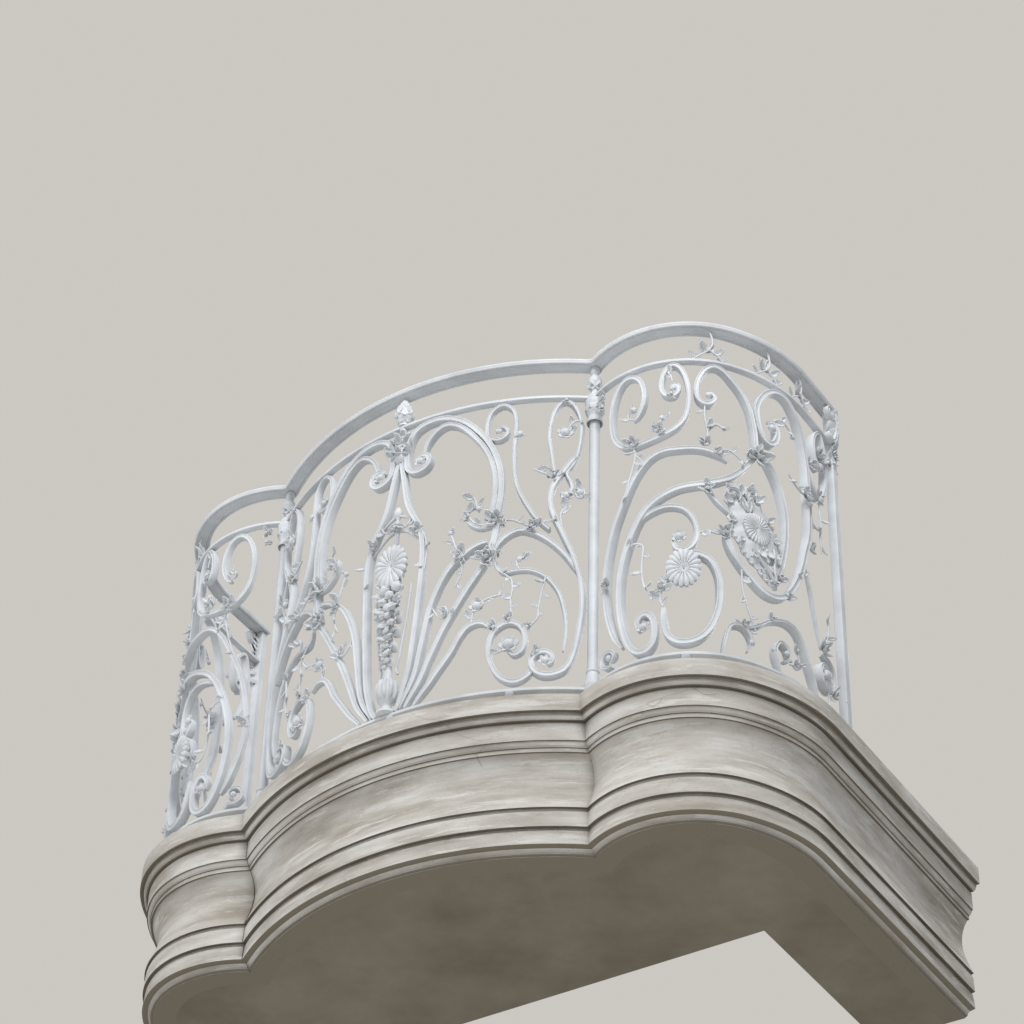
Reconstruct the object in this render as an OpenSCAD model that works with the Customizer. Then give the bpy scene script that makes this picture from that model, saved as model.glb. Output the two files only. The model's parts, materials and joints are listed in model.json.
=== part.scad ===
// Wrought iron balcony: a three-lobed moulded stone slab that carries a painted scroll railing.
// Millimetres. X runs along the wall, Y runs into the wall, Z is up.
// The origin is the middle of the core's back face, which stands against the wall.

/* [Slab plan] */
// How far the middle of the bow stands out from the wall
bow_out = 660; // [620:5:720]
// Half the distance between the two cusps
cusp_x = 468; // [430:4:510]
// How far the cusps stand out from the wall
cusp_out = 517; // [490:5:550]
// Radius of the lobe where it faces the front
lobe_r = 310; // [290:5:330]
// Radius of the lobe where it turns into the side
flank_r = 440; // [410:5:470]
// Angle at which the lobe leaves the cusp, towards the front
lobe_lead = 24.5; // [20:0.5:28]
// Angle through which the front radius runs
lobe_turn = 79; // [74:1:84]
// Length of the side returns behind the wall line
return_len = 565; // [400:5:700]
// Width of a side return at its top
return_w = 290; // [250:5:330]
// Width of the moulded stones in front of the concrete core
core_set = 120; // [100:5:140]

/* [Slab moulding] */
// Height of the flat fascia at the top
fascia_h = 45; // [35:1:55]
// Height of the bead and quirk under the fascia
bead_h = 20; // [16:1:26]
// Height of the upper flat band with its ovolo
band_h = 70; // [60:1:85]
// Height of the hollow between the bands
scotia_h = 148; // [128:2:170]
// Height of the two lower flat bands together
base_h = 94; // [80:2:110]
// Height of the cove under the lower bands
drip_h = 17; // [14:1:22]
// How far the upper band is set back from the fascia
band_set = 23; // [18:1:28]
// How far the deepest point of the hollow is set back
scotia_set = 58; // [50:1:66]
// How far the lip under the hollow is set back
lip_set = 35; // [30:1:42]
// How far each lower band is undercut at its top
step_in = 6; // [4:0.5:8]
// How far the soffit edge is set back
soffit_set = 66; // [62:1:80]

/* [Railing] */
// Distance from the slab's top edge to the middle of the rails
rail_inset = 52; // [45:1:65]
// Height of the handrail's top over the deck
rail_h = 1064; // [950:5:1150]
// Width of the handrail
hand_w = 42; // [36:1:56]
// Thickness of the handrail
hand_t = 18; // [14:1:26]
// Clear space between the handrail and the upper rail
frieze_h = 98; // [84:1:114]
// Height of the bottom rail's underside over the deck
foot_gap = 44; // [36:1:60]
// Front to back depth of the two thin rails
rail_d = 18; // [14:1:26]
// Thickness of the two thin rails
rail_t = 9; // [7:1:13]
// Diameter of the round shafts of the posts
post_d = 26; // [22:1:32]
// Side of the square end bars at the wall
end_bar = 22; // [18:1:26]
// Radius of the ball feet
ball_r = 15; // [12:0.5:18]

/* [Scrollwork] */
// Face width of the heavy scroll bars
bar_w = 15; // [11:0.5:18]
// Front to back depth of the heavy scroll bars
bar_d = 22; // [16:1:26]
// Face width of the light scroll bars
twig_w = 9; // [7:0.5:12]
// Front to back depth of the light scroll bars
twig_d = 14; // [10:1:18]
// Radius of the daisy rosettes
daisy_r = 46; // [38:1:54]

/* [Hidden] */
$fn = 48;
plan_fn = 240;
iron = "gainsboro";
stone = "antiquewhite";
slab_h = fascia_h + bead_h + band_h + scotia_h + base_h + drip_h;
deck = slab_h / 2;

// Plan of the slab's top edge: bow circle, lobe circle and flank circle on the right side.
bow_sag = bow_out - cusp_out;
bow_r = (cusp_x * cusp_x + bow_sag * bow_sag) / (2 * bow_sag);
bow_c = [0, bow_r - bow_out];
lobe_c = [cusp_x + lobe_r * sin(lobe_lead), -cusp_out + lobe_r * cos(lobe_lead)];
turn_a = lobe_turn - lobe_lead - 90;
flank_c = lobe_c + (lobe_r - flank_r) * [cos(turn_a), sin(turn_a)];
side_x = flank_c[0] + flank_r;

// Where the bow and the lobe cross when both are set back by d.
function cusp_at(d) =
    let (ra = bow_r - d,
         rb = lobe_r - d,
         v = lobe_c - bow_c,
         gap = norm(v),
         along = (ra * ra - rb * rb + gap * gap) / (2 * gap),
         aside = sqrt(ra * ra - along * along),
         e = v / gap)
    bow_c + along * e + aside * [e[1], -e[0]];
function bearing(from, to) = atan2(to[1] - from[1], to[0] - from[0]);

// The railing follows the slab's edge at a steady distance.
rail_cusp = cusp_at(rail_inset);
rail_bow_r = bow_r - rail_inset;
rail_lobe_r = lobe_r - rail_inset;
rail_flank_r = flank_r - rail_inset;
bow_end_a = bearing(bow_c, rail_cusp);
lobe_start_a = bearing(lobe_c, rail_cusp);
collar_d = 1.65 * post_d;
deg = PI / 180;
bow_half = (bow_end_a + 90) * deg * rail_bow_r;
lobe_len = (turn_a - lobe_start_a) * deg * rail_lobe_r;
flank_len = -turn_a * deg * rail_flank_r;
side_len = -flank_c[1];
panel_len = lobe_len + flank_len + side_len;

// A place on the railing: s is measured along it from the middle, out is towards the street.
function polar(c, r, a) = c + r * [cos(a), sin(a)];
function rail_xy(s, out) =
    s < 0 ? let (p = rail_xy(-s, out)) [-p[0], p[1]]
    : s <= bow_half ? polar(bow_c, rail_bow_r + out, s / rail_bow_r / deg - 90)
    : s <= bow_half + lobe_len
        ? polar(lobe_c, rail_lobe_r + out, lobe_start_a + (s - bow_half) / rail_lobe_r / deg)
    : s <= bow_half + lobe_len + flank_len
        ? polar(flank_c, rail_flank_r + out, turn_a + (s - bow_half - lobe_len) / rail_flank_r / deg)
    : [side_x - rail_inset + out, flank_c[1] + s - bow_half - lobe_len - flank_len];
function rail_xyz(s, out, z) = let (p = rail_xy(s, out)) [p[0], p[1], z];

// Heights of the rails.
hand_z = deck + rail_h - hand_t;
upper_z = hand_z - frieze_h - rail_t;
bottom_z = deck + foot_gap;
sheet_z = bottom_z + rail_t;
sheet_h = upper_z - sheet_z;

// The scrollwork is drawn on flat sheets, which are stretched to the panels.
draw_h = 880;
draw_bow = 500;
draw_lobe = 840;
bow_fit = bow_half / draw_bow;
wall_squeeze = 0.071;
function sheet_at(z) = sheet_z + z * sheet_h / draw_h;
function lobe_s(x) =
    let (t = x / draw_lobe)
    bow_half + panel_len * t * (1 + wall_squeeze * (1 - t * t));
function on_bow(p) = [for (q = p) [q[0] * bow_fit, sheet_at(q[1])]];
function on_lobe(p) = [for (q = p) [lobe_s(q[0]), sheet_at(q[1])]];

// Places of the ornaments on the sheets.
crown_low = 766;
daisy_mid = 432;
drop_top = 366;
drop_low = 120;
collar_mid = 560;
bud_rise = 49;
lobe_daisy_mid = [260, 232];
plate_mid = [442, 380];

// A smooth curve through the points p, with n steps between neighbours.
function blend(a, b, c, d, t) =
    0.5 * ((2 * b) + (c - a) * t + (2 * a - 5 * b + 4 * c - d) * t * t
        + (3 * b - a - 3 * c + d) * t * t * t);
function flow(p, n) =
    let (last = len(p) - 1)
    concat([for (i = [0 : last - 1]) for (k = [0 : n - 1])
        blend(p[max(i - 1, 0)], p[i], p[i + 1], p[min(i + 2, last)], k / n)], [p[last]]);
// A curl round a centre whose radius shrinks from r0 to r1 between the angles a0 and a1.
function curl(c, r0, r1, a0, a1) =
    let (n = ceil(abs(a1 - a0) / 45))
    [for (i = [0 : n]) let (t = i / n, r = r0 + (r1 - r0) * t, a = a0 + (a1 - a0) * t)
        c + r * [cos(a), sin(a)]];

// A flat bar of width w and depth d bent along a path and round the railing's plan.
module bar(path, w, d, tip = 0.55) {
    last = len(path) - 1;
    rings = [for (i = [0 : last])
        let (a = path[max(i - 1, 0)],
             b = path[min(i + 1, last)],
             v = (b - a) / norm(b - a),
             m = [-v[1], v[0]],
             near_end = min(i, last - i, 3) / 3,
             h = w / 2 * (tip + (1 - tip) * near_end))
        for (c = [[1, 1], [-1, 1], [-1, -1], [1, -1]])
            rail_xyz(path[i][0] + m[0] * h * c[0], d / 2 * c[1], path[i][1] + m[1] * h * c[0])];
    sides = [for (i = [0 : last - 1]) for (k = [0 : 3])
        let (j = (k + 1) % 4)
        [[4 * i + k, 4 * i + j, 4 * i + 4 + j], [4 * i + k, 4 * i + 4 + j, 4 * i + 4 + k]]];
    quads = [for (pair = sides) for (tri = pair) tri];
    ends = [[3, 2, 1], [3, 1, 0],
            [4 * last, 4 * last + 1, 4 * last + 2], [4 * last, 4 * last + 2, 4 * last + 3]];
    polyhedron(points = rings, faces = concat(quads, ends), convexity = 6);
}

// Both sides of the balcony are alike.
module on_side(side) {
    mirror([side < 0 ? 1 : 0, 0, 0]) children();
}

// The moulded edge of the slab, from its top arris to the soffit, as [set back, depth] points.
band_y = fascia_h + bead_h;
scotia_y = band_y + band_h;
base_y = scotia_y + scotia_h;
mid_y = base_y + 0.53 * base_h;
drip_y = base_y + base_h;
ovolo_y = band_y + 0.66 * band_h;
fillet_y = scotia_y - 0.14 * band_h;
bead_r = 0.55 * bead_h;
bead_y = fascia_h + 0.25 * bead_h;
quirk = 2;
bead_set = band_set - quirk;
fillet_set = band_set + 2 * step_in;
hollow_top = fillet_set + 5;
step_h = 8;
cant = 3;
under_set = lip_set + step_in;
low_set = lip_set + 4;
cove_r = 0.65 * drip_h;
cove_set = soffit_set - step_in;
cove_y = drip_y + quirk + cove_r;
fascia_edge = [[0, 0], [0, fascia_h], [bead_set - bead_r - 1, fascia_h], [bead_set - bead_r - 1, bead_y]];
bead_edge = [for (a = [0 : 22.5 : 90]) [bead_set - bead_r * cos(a), bead_y + bead_r * sin(a)]];
band_edge = [[band_set + quirk, bead_y + bead_r], [band_set + quirk, band_y - quirk],
    [band_set, band_y], [band_set, ovolo_y]];
ovolo_edge = [for (a = [0 : 22.5 : 90])
    [fillet_set + 3 - (fillet_set - band_set) * cos(a), ovolo_y + (fillet_y - ovolo_y) * sin(a)]];
fillet_edge = [[fillet_set, fillet_y], [fillet_set, scotia_y]];
hollow_steps = 12;
hollow_bulge = scotia_set - (hollow_top + lip_set) / 2;
hollow_edge = [for (i = [0 : hollow_steps]) let (t = i / hollow_steps)
    [hollow_top + (lip_set - hollow_top) * t + hollow_bulge * sin(180 * pow(t, 0.8)),
     scotia_y + scotia_h * t]];
base_edge = [
    [under_set, base_y + 1], [under_set, base_y + step_h], [lip_set + cant, base_y + step_h + quirk],
    [lip_set + 1, mid_y], [under_set + cant, mid_y + 1], [under_set + cant, mid_y + step_h - quirk],
    [low_set + cant, mid_y + step_h], [low_set, drip_y]];
cove_edge = [for (a = [0 : 22.5 : 90]) [cove_set - cove_r * (1 - sin(a)), cove_y - cove_r * cos(a)]];
soffit_edge = [[soffit_set, slab_h - quirk], [soffit_set, slab_h]];
moulding = concat(fascia_edge, bead_edge, band_edge, ovolo_edge, fillet_edge, hollow_edge,
    base_edge, cove_edge, soffit_edge);

low_z = deck - slab_h;
bow_a = bearing(bow_c, cusp_at(0));
lobe_a = bearing(lobe_c, cusp_at(0));
mitre_a = bearing(cusp_at(core_set), cusp_at(0));
reach = 2 + max(bearing(bow_c, cusp_at(core_set)) - bow_a, lobe_a - bearing(lobe_c, cusp_at(core_set)));
inner_x = side_x - return_w;

// Cross section of the moulded ring, for an arc of radius r.
function ring_at(r) =
    concat([[r - core_set, low_z], [r - core_set, deck]], [for (p = moulding) [r - p[0], deck - p[1]]]);

module turned(c, from, to, section) {
    translate([c[0], c[1], 0]) rotate([0, 0, from])
        rotate_extrude(angle = to - from, $fn = plan_fn) polygon(section);
}

module run_back(y0, y1, section) {
    translate([0, y1, 0]) rotate([90, 0, 0]) linear_extrude(y1 - y0) polygon(section);
}

// Everything on one side of the upright plane that mitres the pieces at a cusp.
module past_cusp(hand) {
    big = 4 * (bow_out + rail_h);
    translate([cusp_at(0)[0], cusp_at(0)[1], 0]) rotate([0, 0, mitre_a])
        translate([-big / 2, hand > 0 ? 0 : -big, -big / 2]) cube([big, big, big]);
}

module between_cusps() {
    intersection() {
        children();
        past_cusp(-1);
        mirror([1, 0, 0]) past_cusp(-1);
    }
}

module bow_cornice() {
    color(stone) between_cusps()
        turned(bow_c, -180 - bow_a - reach, bow_a + reach, ring_at(bow_r));
}

// Carries a section round a lobe: from before the cusp to the flank, round the flank, then straight back.
module round_lobe(from, lobe_ring, flank_ring, straight = 0) {
    intersection() {
        translate([lobe_c[0], lobe_c[1], 0]) rotate([0, 0, turn_a]) {
            mirror([0, 1, 0]) rotate_extrude(angle = turn_a - from, $fn = plan_fn) polygon(lobe_ring);
            translate([lobe_r - flank_r, 0, 0]) {
                rotate_extrude(angle = -turn_a, $fn = plan_fn) polygon(flank_ring);
                if (straight > 0) rotate([0, 0, -turn_a]) run_back(0, straight, flank_ring);
            }
        }
        past_cusp(1);
    }
}

module lobe_cornice(side) {
    color(stone) on_side(side) round_lobe(lobe_a - reach, ring_at(lobe_r), ring_at(flank_r));
}

module return_cornice(side) {
    color(stone) on_side(side) run_back(flank_c[1], return_len, ring_at(side_x));
}

// The outline of the core behind the moulded stones, right half, from the middle to the back.
plan_step = 2;
function arc_xy(c, r, from, to) =
    let (n = ceil((to - from) / plan_step))
    [for (i = [0 : n - 1]) polar(c, r, from + (to - from) * i / n)];
core_cusp = cusp_at(core_set);
core_half = concat(
    arc_xy(bow_c, bow_r - core_set, -90, bearing(bow_c, core_cusp)),
    arc_xy(lobe_c, lobe_r - core_set, bearing(lobe_c, core_cusp), turn_a),
    arc_xy(flank_c, flank_r - core_set, turn_a, 0),
    [[side_x - core_set, flank_c[1]], [side_x - core_set, return_len], [inner_x, return_len],
    [inner_x, 0]]);

module deck_core() {
    mirrored = [for (i = [len(core_half) - 1 : -1 : 1]) [-core_half[i][0], core_half[i][1]]];
    color(stone) translate([0, 0, low_z]) linear_extrude(slab_h) polygon(concat(core_half, mirrored));
}

// Bars that follow the railing's plan with a constant section, drawn as [out, up] points.
function bar_section(w, h, z) =
    [[-w / 2, z], [w / 2, z], [w / 2, z + h], [-w / 2, z + h]];
function hand_section(w, h, z) =
    [for (p = [[-0.42, 0], [0.42, 0], [0.5, 0.35], [0.44, 0.65], [0.28, 0.9], [0, 1],
        [-0.28, 0.9], [-0.44, 0.65], [-0.5, 0.35]]) [p[0] * w, z + p[1] * h]];

function placed(r, section) = [for (p = section) [r + p[0], p[1]]];

module bow_rail(section) {
    between_cusps()
        turned(bow_c, -180 - bow_end_a - reach, bow_end_a + reach, placed(rail_bow_r, section));
}

module lobe_rail(section, stop) {
    round_lobe(lobe_start_a - reach, placed(rail_lobe_r, section), placed(rail_flank_r, section),
        side_len - stop);
}

module handrail_bow() { color(iron) bow_rail(hand_section(hand_w, hand_t, hand_z)); }

// Where a circle of radius r round the lobe's centre meets the upright mitre plane at the cusp.
function mitre_xy(r) =
    let (e = [cos(mitre_a), sin(mitre_a)],
         v = cusp_at(0) - lobe_c,
         b = e * v)
    cusp_at(0) + (sqrt(b * b - v * v + r * r) - b) * e;

// The handrail of a lobe: its section is carried along the plan from the mitre to the wall.
module handrail_side(side) {
    section = hand_section(hand_w, hand_t, hand_z);
    n = len(section);
    steps = 32;
    first = hand_w;
    spots = [for (i = [0 : steps - 1]) bow_half + first + (panel_len - first) * i / (steps - 1)];
    rings = concat(
        [for (p = section) let (q = mitre_xy(rail_lobe_r + p[0])) [q[0], q[1], p[1]]],
        [for (s = spots) for (p = section) rail_xyz(s, p[0], p[1])]);
    walls = [for (i = [0 : steps - 1]) for (k = [0 : n - 1])
        let (a = n * i + k, b = n * i + (k + 1) % n)
        [[a, b, b + n], [a, b + n, a + n]]];
    ends = [for (k = [1 : n - 2]) [[0, k + 1, k], [n * steps, n * steps + k, n * steps + k + 1]]];
    faces = [for (pair = concat(walls, ends)) for (tri = pair) tri];
    color(iron) on_side(side) polyhedron(points = rings, faces = faces, convexity = 4);
}

module at_cusp() { translate([rail_cusp[0], rail_cusp[1], 0]) children(); }
module post_hole() {
    at_cusp() cylinder(h = 2 * rail_h, d = collar_d);
}
module thin_bow_rail(z) {
    difference() {
        bow_rail(bar_section(rail_d, rail_t, z));
        post_hole();
        mirror([1, 0, 0]) post_hole();
    }
}
module thin_lobe_rail(side, z) {
    on_side(side) difference() {
        lobe_rail(bar_section(rail_d, rail_t, z), end_bar);
        post_hole();
    }
}
module upper_rail_bow() { color(iron) thin_bow_rail(upper_z); }
module bottom_rail_bow() { color(iron) thin_bow_rail(bottom_z); }
module upper_rail_side(side) { color(iron) thin_lobe_rail(side, upper_z); }
module bottom_rail_side(side) { color(iron) thin_lobe_rail(side, bottom_z); }

// Turned posts at the cusps: knob foot, bell base, shaft, bell capital, then a bud under the handrail.
module post(side) {
    r = post_d / 2;
    c = collar_d / 2;
    foot = foot_gap + rail_t;
    cap = upper_z - deck;
    neck = cap + rail_t;
    top = rail_h - hand_t;
    knob = [[0, 0], [0.7 * r, 0], [0.7 * r, 4], [r, 10], [r, 20], [0.7 * r, foot_gap - 12],
        [c, foot_gap - 8]];
    bell = [[c, foot + 2], [1.04 * c, foot + 5], [0.9 * c, foot + 18], [0.72 * c, foot + 34],
        [1.05 * r, foot + 44], [1.22 * r, foot + 46], [1.22 * r, foot + 51], [r, foot + 53]];
    capital = [[r, cap - 70], [0.95 * c, cap - 75], [0.93 * c, cap - 66], [0.8 * c, cap - 52],
        [0.88 * c, cap - 44], [1.12 * c, cap - 36], [1.16 * c, cap - 26], [1.12 * c, cap - 8],
        [c, cap - 2], [c, neck + 3]];
    bud = [[0.75 * c, neck + 5], [0.42 * c, neck + 17], [0.38 * c, neck + 27], [0.6 * c, neck + 36],
        [0.8 * c, neck + 48], [0.74 * c, neck + 60], [0.5 * c, neck + 70], [0.4 * c, neck + 76],
        [0.56 * c, neck + 82], [0.52 * c, top], [0, top]];
    color(iron) on_side(side) at_cusp() translate([0, 0, deck])
        rotate_extrude() polygon(concat(knob, bell, capital, bud));
}

// The square bar at the wall, with the rolled leaf that hangs from the handrail's end beside it.
module end_post(side) {
    leaf_t = 16;
    leaf = [[-22, 0], [-8, -6], [-5, -40], [-10, -84], [-22, -112], [-40, -118], [-50, -104], [-42, -88],
        [-32, -92], [-24, -70], [-22, -40], [-38, -36], [-54, -20], [-50, -4], [-38, 0]];
    color(iron) on_side(side) translate([side_x - rail_inset, 0, 0]) {
        translate([-end_bar / 2, -end_bar, deck]) cube([end_bar, end_bar, rail_h - hand_t]);
        translate([hand_w / 2 - leaf_t, 0, hand_z]) rotate([90, 0, 90])
            linear_extrude(leaf_t) polygon(leaf);
    }
}

module ball_feet() {
    spots = [-bow_half * 0.62, 0.03 * bow_half, bow_half * 0.62,
        bow_half + panel_len * 0.33, bow_half + panel_len * 0.66,
        -bow_half - panel_len * 0.33, -bow_half - panel_len * 0.66];
    neck = ball_r * 0.45;
    color(iron) for (s = spots) translate(rail_xyz(s, 0, deck))
        rotate_extrude() polygon(concat([[0, 0], [ball_r * 0.9, 0], [ball_r * 0.9, 4]],
            [for (a = [-60 : 15 : 60]) [ball_r * cos(a), 4 + ball_r + ball_r * sin(a)]],
            [[neck, 4 + 1.9 * ball_r], [neck, foot_gap], [0, foot_gap]]));
}

// Places an upright piece on the railing, its own Y axis pointing back from the street.
module on_rail(s, z, out = 0) {
    p = rail_xy(s, out);
    q = rail_xy(s, out + 1);
    translate([p[0], p[1], z]) rotate([0, 0, atan2(q[1] - p[1], q[0] - p[0]) + 90]) children();
}

// Scrolls of the bow, right half.
module bow_scrolls(side) {
    big = concat([[262, 490], [272, 550], [276, 610], [268, 680], [243, 750], [210, 800], [172, 840],
        [125, 864], [76, 866], [38, 846], [22, 800]], curl([60, 748], 38, 12, 180, 520));
    small = concat([[394, 465], [363, 500], [338, 545], [318, 592], [308, 640], [305, 700], [306, 760],
        [308, 805], [300, 850], [275, 871], [246, 852]], curl([264, 797], 27, 9, 180, 520));
    spray = [[264, 490], [227, 488], [198, 510], [189, 547], [208, 559], [221, 544]];
    oval = [[405, 632], [396, 705], [390, 760], [396, 815], [410, 855], [430, 871], [452, 853],
        [468, 800], [464, 727], [451, 673], [434, 640], [443, 612], [446, 590], [432, 563], [420, 575]];
    arch = [[258, 400], [273, 432], [300, 458], [332, 466], [375, 445], [414, 410], [442, 373], [460, 338]];
    color(iron) on_side(side) {
        bar(flow(on_bow(big), 2), bar_w, bar_d);
        bar(flow(on_bow(small), 2), twig_w, bar_d - 3);
        bar(flow(on_bow(spray), 2), twig_w, twig_d, 0.3);
        bar(flow(on_bow(oval), 2), twig_w, bar_d - 3);
        bar(flow(on_bow(arch), 2), bar_w * 0.85, bar_d - 2);
    }
}

module bow_arches(side) {
    outer = [[244, 443], [214, 433], [178, 405], [146, 369], [119, 310], [105, 260], [96, 205], [87, 151],
        [78, 96], [62, 50], [38, 8]];
    inner = [[240, 374], [196, 301], [160, 233], [139, 190], [113, 128], [86, 60], [52, 6]];
    low = [[256, 188], [240, 200], [222, 202], [201, 192], [183, 165], [165, 128], [137, 87], [110, 48],
        [76, 6]];
    stem = [[267, 488], [262, 440], [250, 395]];
    ring = [[366, 66], [350, 36], [318, 20], [284, 40], [263, 85], [258, 130], [270, 172], [300, 192],
        [330, 180], [343, 146], [337, 112], [318, 98], [304, 112]];
    color(iron) on_side(side) {
        bar(flow(on_bow(outer), 2), bar_w * 0.85, bar_d);
        bar(flow(on_bow(inner), 2), bar_w * 0.85, bar_d - 2);
        bar(flow(on_bow(low), 2), bar_w * 0.85, bar_d - 4);
        bar(flow(on_bow(stem), 2), bar_w, bar_d + 2, 1);
        bar(flow(on_bow(ring), 2), bar_w * 0.85, bar_d - 3);
    }
}

module bow_post_scrolls(side) {
    long = concat([[462, 705], [420, 635], [397, 583], [399, 523], [425, 453], [451, 384], [470, 310],
        [474, 230], [464, 142], [451, 83], [434, 50]], curl([391, 76], 44, 10, -62, -420));
    thin = [[269, 378], [284, 344], [323, 346], [355, 342], [387, 323], [410, 292], [424, 260], [435, 205],
        [437, 150], [431, 105]];
    color(iron) on_side(side) {
        bar(flow(on_bow(long), 2), bar_w * 0.85, bar_d);
        bar(flow(on_bow(thin), 2), twig_w, twig_d);
    }
}

// The lyre-shaped pair of straps round the middle of the bow.
module bow_lyre() {
    strap = [[4, 766], [14, 712], [29, 627], [46, 582], [66, 540], [78, 480], [80, 400], [75, 300],
        [68, 200], [58, 100], [40, 28], [28, 4]];
    color(iron) for (side = [-1, 1]) on_side(side)
        bar(flow(on_bow(strap), 2), bar_w * 0.85, bar_d, 0.8);
}

// The finial: a leafy crown under the upper rail and a pinecone above it.
module bow_finial() {
    crown_h = upper_z - sheet_at(crown_low);
    cone_h = frieze_h - 2;
    cone_r = 0.27 * cone_h;
    color(iron) on_rail(0, sheet_at(crown_low))
        rotate_extrude() polygon([[0, 0], [14, 0], [19, crown_h * 0.2], [15, crown_h * 0.32],
            [20, crown_h * 0.42], [31, crown_h * 0.7], [14, crown_h * 0.76], [10, crown_h], [0, crown_h]]);
    color(iron) on_rail(0, upper_z + rail_t) rotate_extrude()
        polygon(concat(
            [[0, 0], [cone_r * 0.5, 0], [cone_r * 0.4, cone_h * 0.1], [cone_r * 0.8, cone_h * 0.2]],
            [for (a = [0 : 15 : 75]) [cone_r * cos(a), cone_h * (0.4 + 0.56 * sin(a))]],
            [[cone_r * 0.1, cone_h * 0.98], [0, cone_h * 0.98]]));
}

// A daisy with a dished face and scalloped petals, facing the street.
module daisy(r, petals) {
    rotate([90, 0, 0]) difference() {
        union() {
            rotate_extrude() polygon([[0, -6], [r * 0.6, -6], [r * 0.93, 0], [r * 0.9, 6], [r * 0.3, 3],
                [r * 0.24, 10], [0, 13]]);
            for (i = [0 : petals - 1]) rotate([0, 0, 360 * i / petals])
                translate([r * 0.92, 0, -1]) cylinder(h = 6, r = r * 0.16);
        }
        for (i = [0 : petals - 1]) rotate([0, 0, 360 * (i + 0.5) / petals])
            translate([r * 0.34, -1, 1.5]) cube([r * 0.8, 2, 12]);
    }
}

module bow_daisy() {
    color(iron) on_rail(0, sheet_at(daisy_mid), bar_d / 2) daisy(daisy_r, 16);
}

// The drop of fruit, turned in one with its vase foot and with the stem that carries the daisy.
module bow_drop() {
    beads = 7;
    top_r = 29;
    low_r = 13;
    stem_r = 6;
    bud_r = 11;
    top = sheet_at(drop_top);
    low = sheet_at(drop_low);
    vase_h = low - sheet_z;
    pitch = (top - low) / beads;
    vase = [[0, 0], [26, 0], [22, vase_h * 0.16], [14, vase_h * 0.26], [24, vase_h * 0.42],
        [28, vase_h * 0.6], [22, vase_h * 0.8], [11, vase_h * 0.92]];
    fruit = [for (i = [0 : beads - 1]) let (r = low_r + (top_r - low_r) * i / (beads - 1))
        for (a = [-70 : 35 : 70]) [r * (1 + cos(a)) / 2, vase_h + pitch * (i + (1 + sin(a)) / 2)]];
    collar_z = sheet_at(collar_mid) - sheet_z;
    bud_z = collar_z + bud_rise;
    stem = [[stem_r, top - sheet_z + 6], [stem_r, collar_z - 8], [bud_r, collar_z], [stem_r, collar_z + 6],
        [stem_r, bud_z - 14], [bud_r, bud_z - 4], [bud_r * 0.8, bud_z + 8], [0, bud_z + 20]];
    color(iron) on_rail(0, sheet_z) rotate_extrude() polygon(concat(vase, fruit, stem));
}

// Scrolls of a lobe, right side.
module lobe_top_scrolls(side) {
    pair = [[140, 720], [154, 731], [168, 765], [170, 803], [160, 840], [140, 860], [115, 860], [92, 833],
        [78, 785], [77, 737], [87, 687], [110, 652], [140, 637], [180, 640], [215, 651], [246, 668],
        [268, 698], [278, 745], [278, 792], [270, 835], [257, 862], [240, 871], [223, 854], [214, 820],
        [221, 788], [238, 772], [252, 786]];
    third = [[333, 786], [342, 768], [333, 750], [317, 745], [302, 758], [297, 785], [303, 822], [320, 855],
        [343, 868], [366, 858], [385, 838], [403, 817], [418, 796], [431, 770], [439, 745], [447, 700],
        [450, 655], [454, 625]];
    hook = [[723, 771], [735, 768], [725, 740], [703, 754], [694, 802], [712, 846], [744, 862], [766, 800],
        [766, 735], [750, 680], [724, 646], [697, 641], [674, 668], [661, 712]];
    color(iron) on_side(side) {
        bar(flow(on_lobe(pair), 2), bar_w * 0.8, bar_d - 3, 0.4);
        bar(flow(on_lobe(third), 2), bar_w * 0.8, bar_d, 0.4);
        bar(flow(on_lobe(hook), 2), twig_w, bar_d, 0.5);
    }
}

module lobe_ring_scroll(side) {
    strap = [[450, 622], [436, 598], [410, 561], [370, 520], [315, 494], [257, 481], [217, 464], [183, 441],
        [157, 409], [134, 362], [114, 306], [102, 240], [102, 165], [112, 100], [127, 50], [147, 22],
        [168, 18], [185, 34], [192, 62], [190, 95], [177, 119], [160, 121], [149, 104], [153, 82]];
    ring = [[221, 212], [228, 246], [243, 270], [266, 281], [297, 279], [323, 262], [339, 222], [342, 172],
        [335, 118], [316, 66], [286, 34], [248, 28], [222, 50], [213, 92], [212, 132]];
    color(iron) on_side(side) {
        bar(flow(on_lobe(strap), 2), bar_w, bar_d);
        bar(flow(on_lobe(ring), 2), bar_w, bar_d - 2);
    }
}

module lobe_great_scroll(side) {
    great = [[497, 752], [508, 757], [519, 746], [523, 722], [515, 695], [497, 680], [476, 687], [461, 722],
        [457, 775], [479, 825], [513, 857], [549, 865], [581, 850], [610, 816], [631, 770], [646, 706],
        [650, 640], [651, 556], [646, 490], [636, 452], [620, 412], [600, 352], [571, 293], [543, 248],
        [515, 221], [483, 209], [450, 216], [418, 243], [390, 276], [371, 308], [361, 345], [366, 370]];
    tail = [[300, 492], [320, 474], [343, 442], [368, 420], [397, 394]];
    branch = [[150, 398], [183, 418], [223, 427], [262, 416], [285, 384], [292, 343], [283, 311],
        [263, 293], [243, 300], [237, 322], [248, 337]];
    color(iron) on_side(side) {
        bar(flow(on_lobe(great), 2), bar_w, bar_d, 0.5);
        bar(flow(on_lobe(tail), 2), twig_w, twig_d, 0.4);
        bar(flow(on_lobe(branch), 2), bar_w * 0.8, bar_d - 3, 0.4);
    }
}

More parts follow.
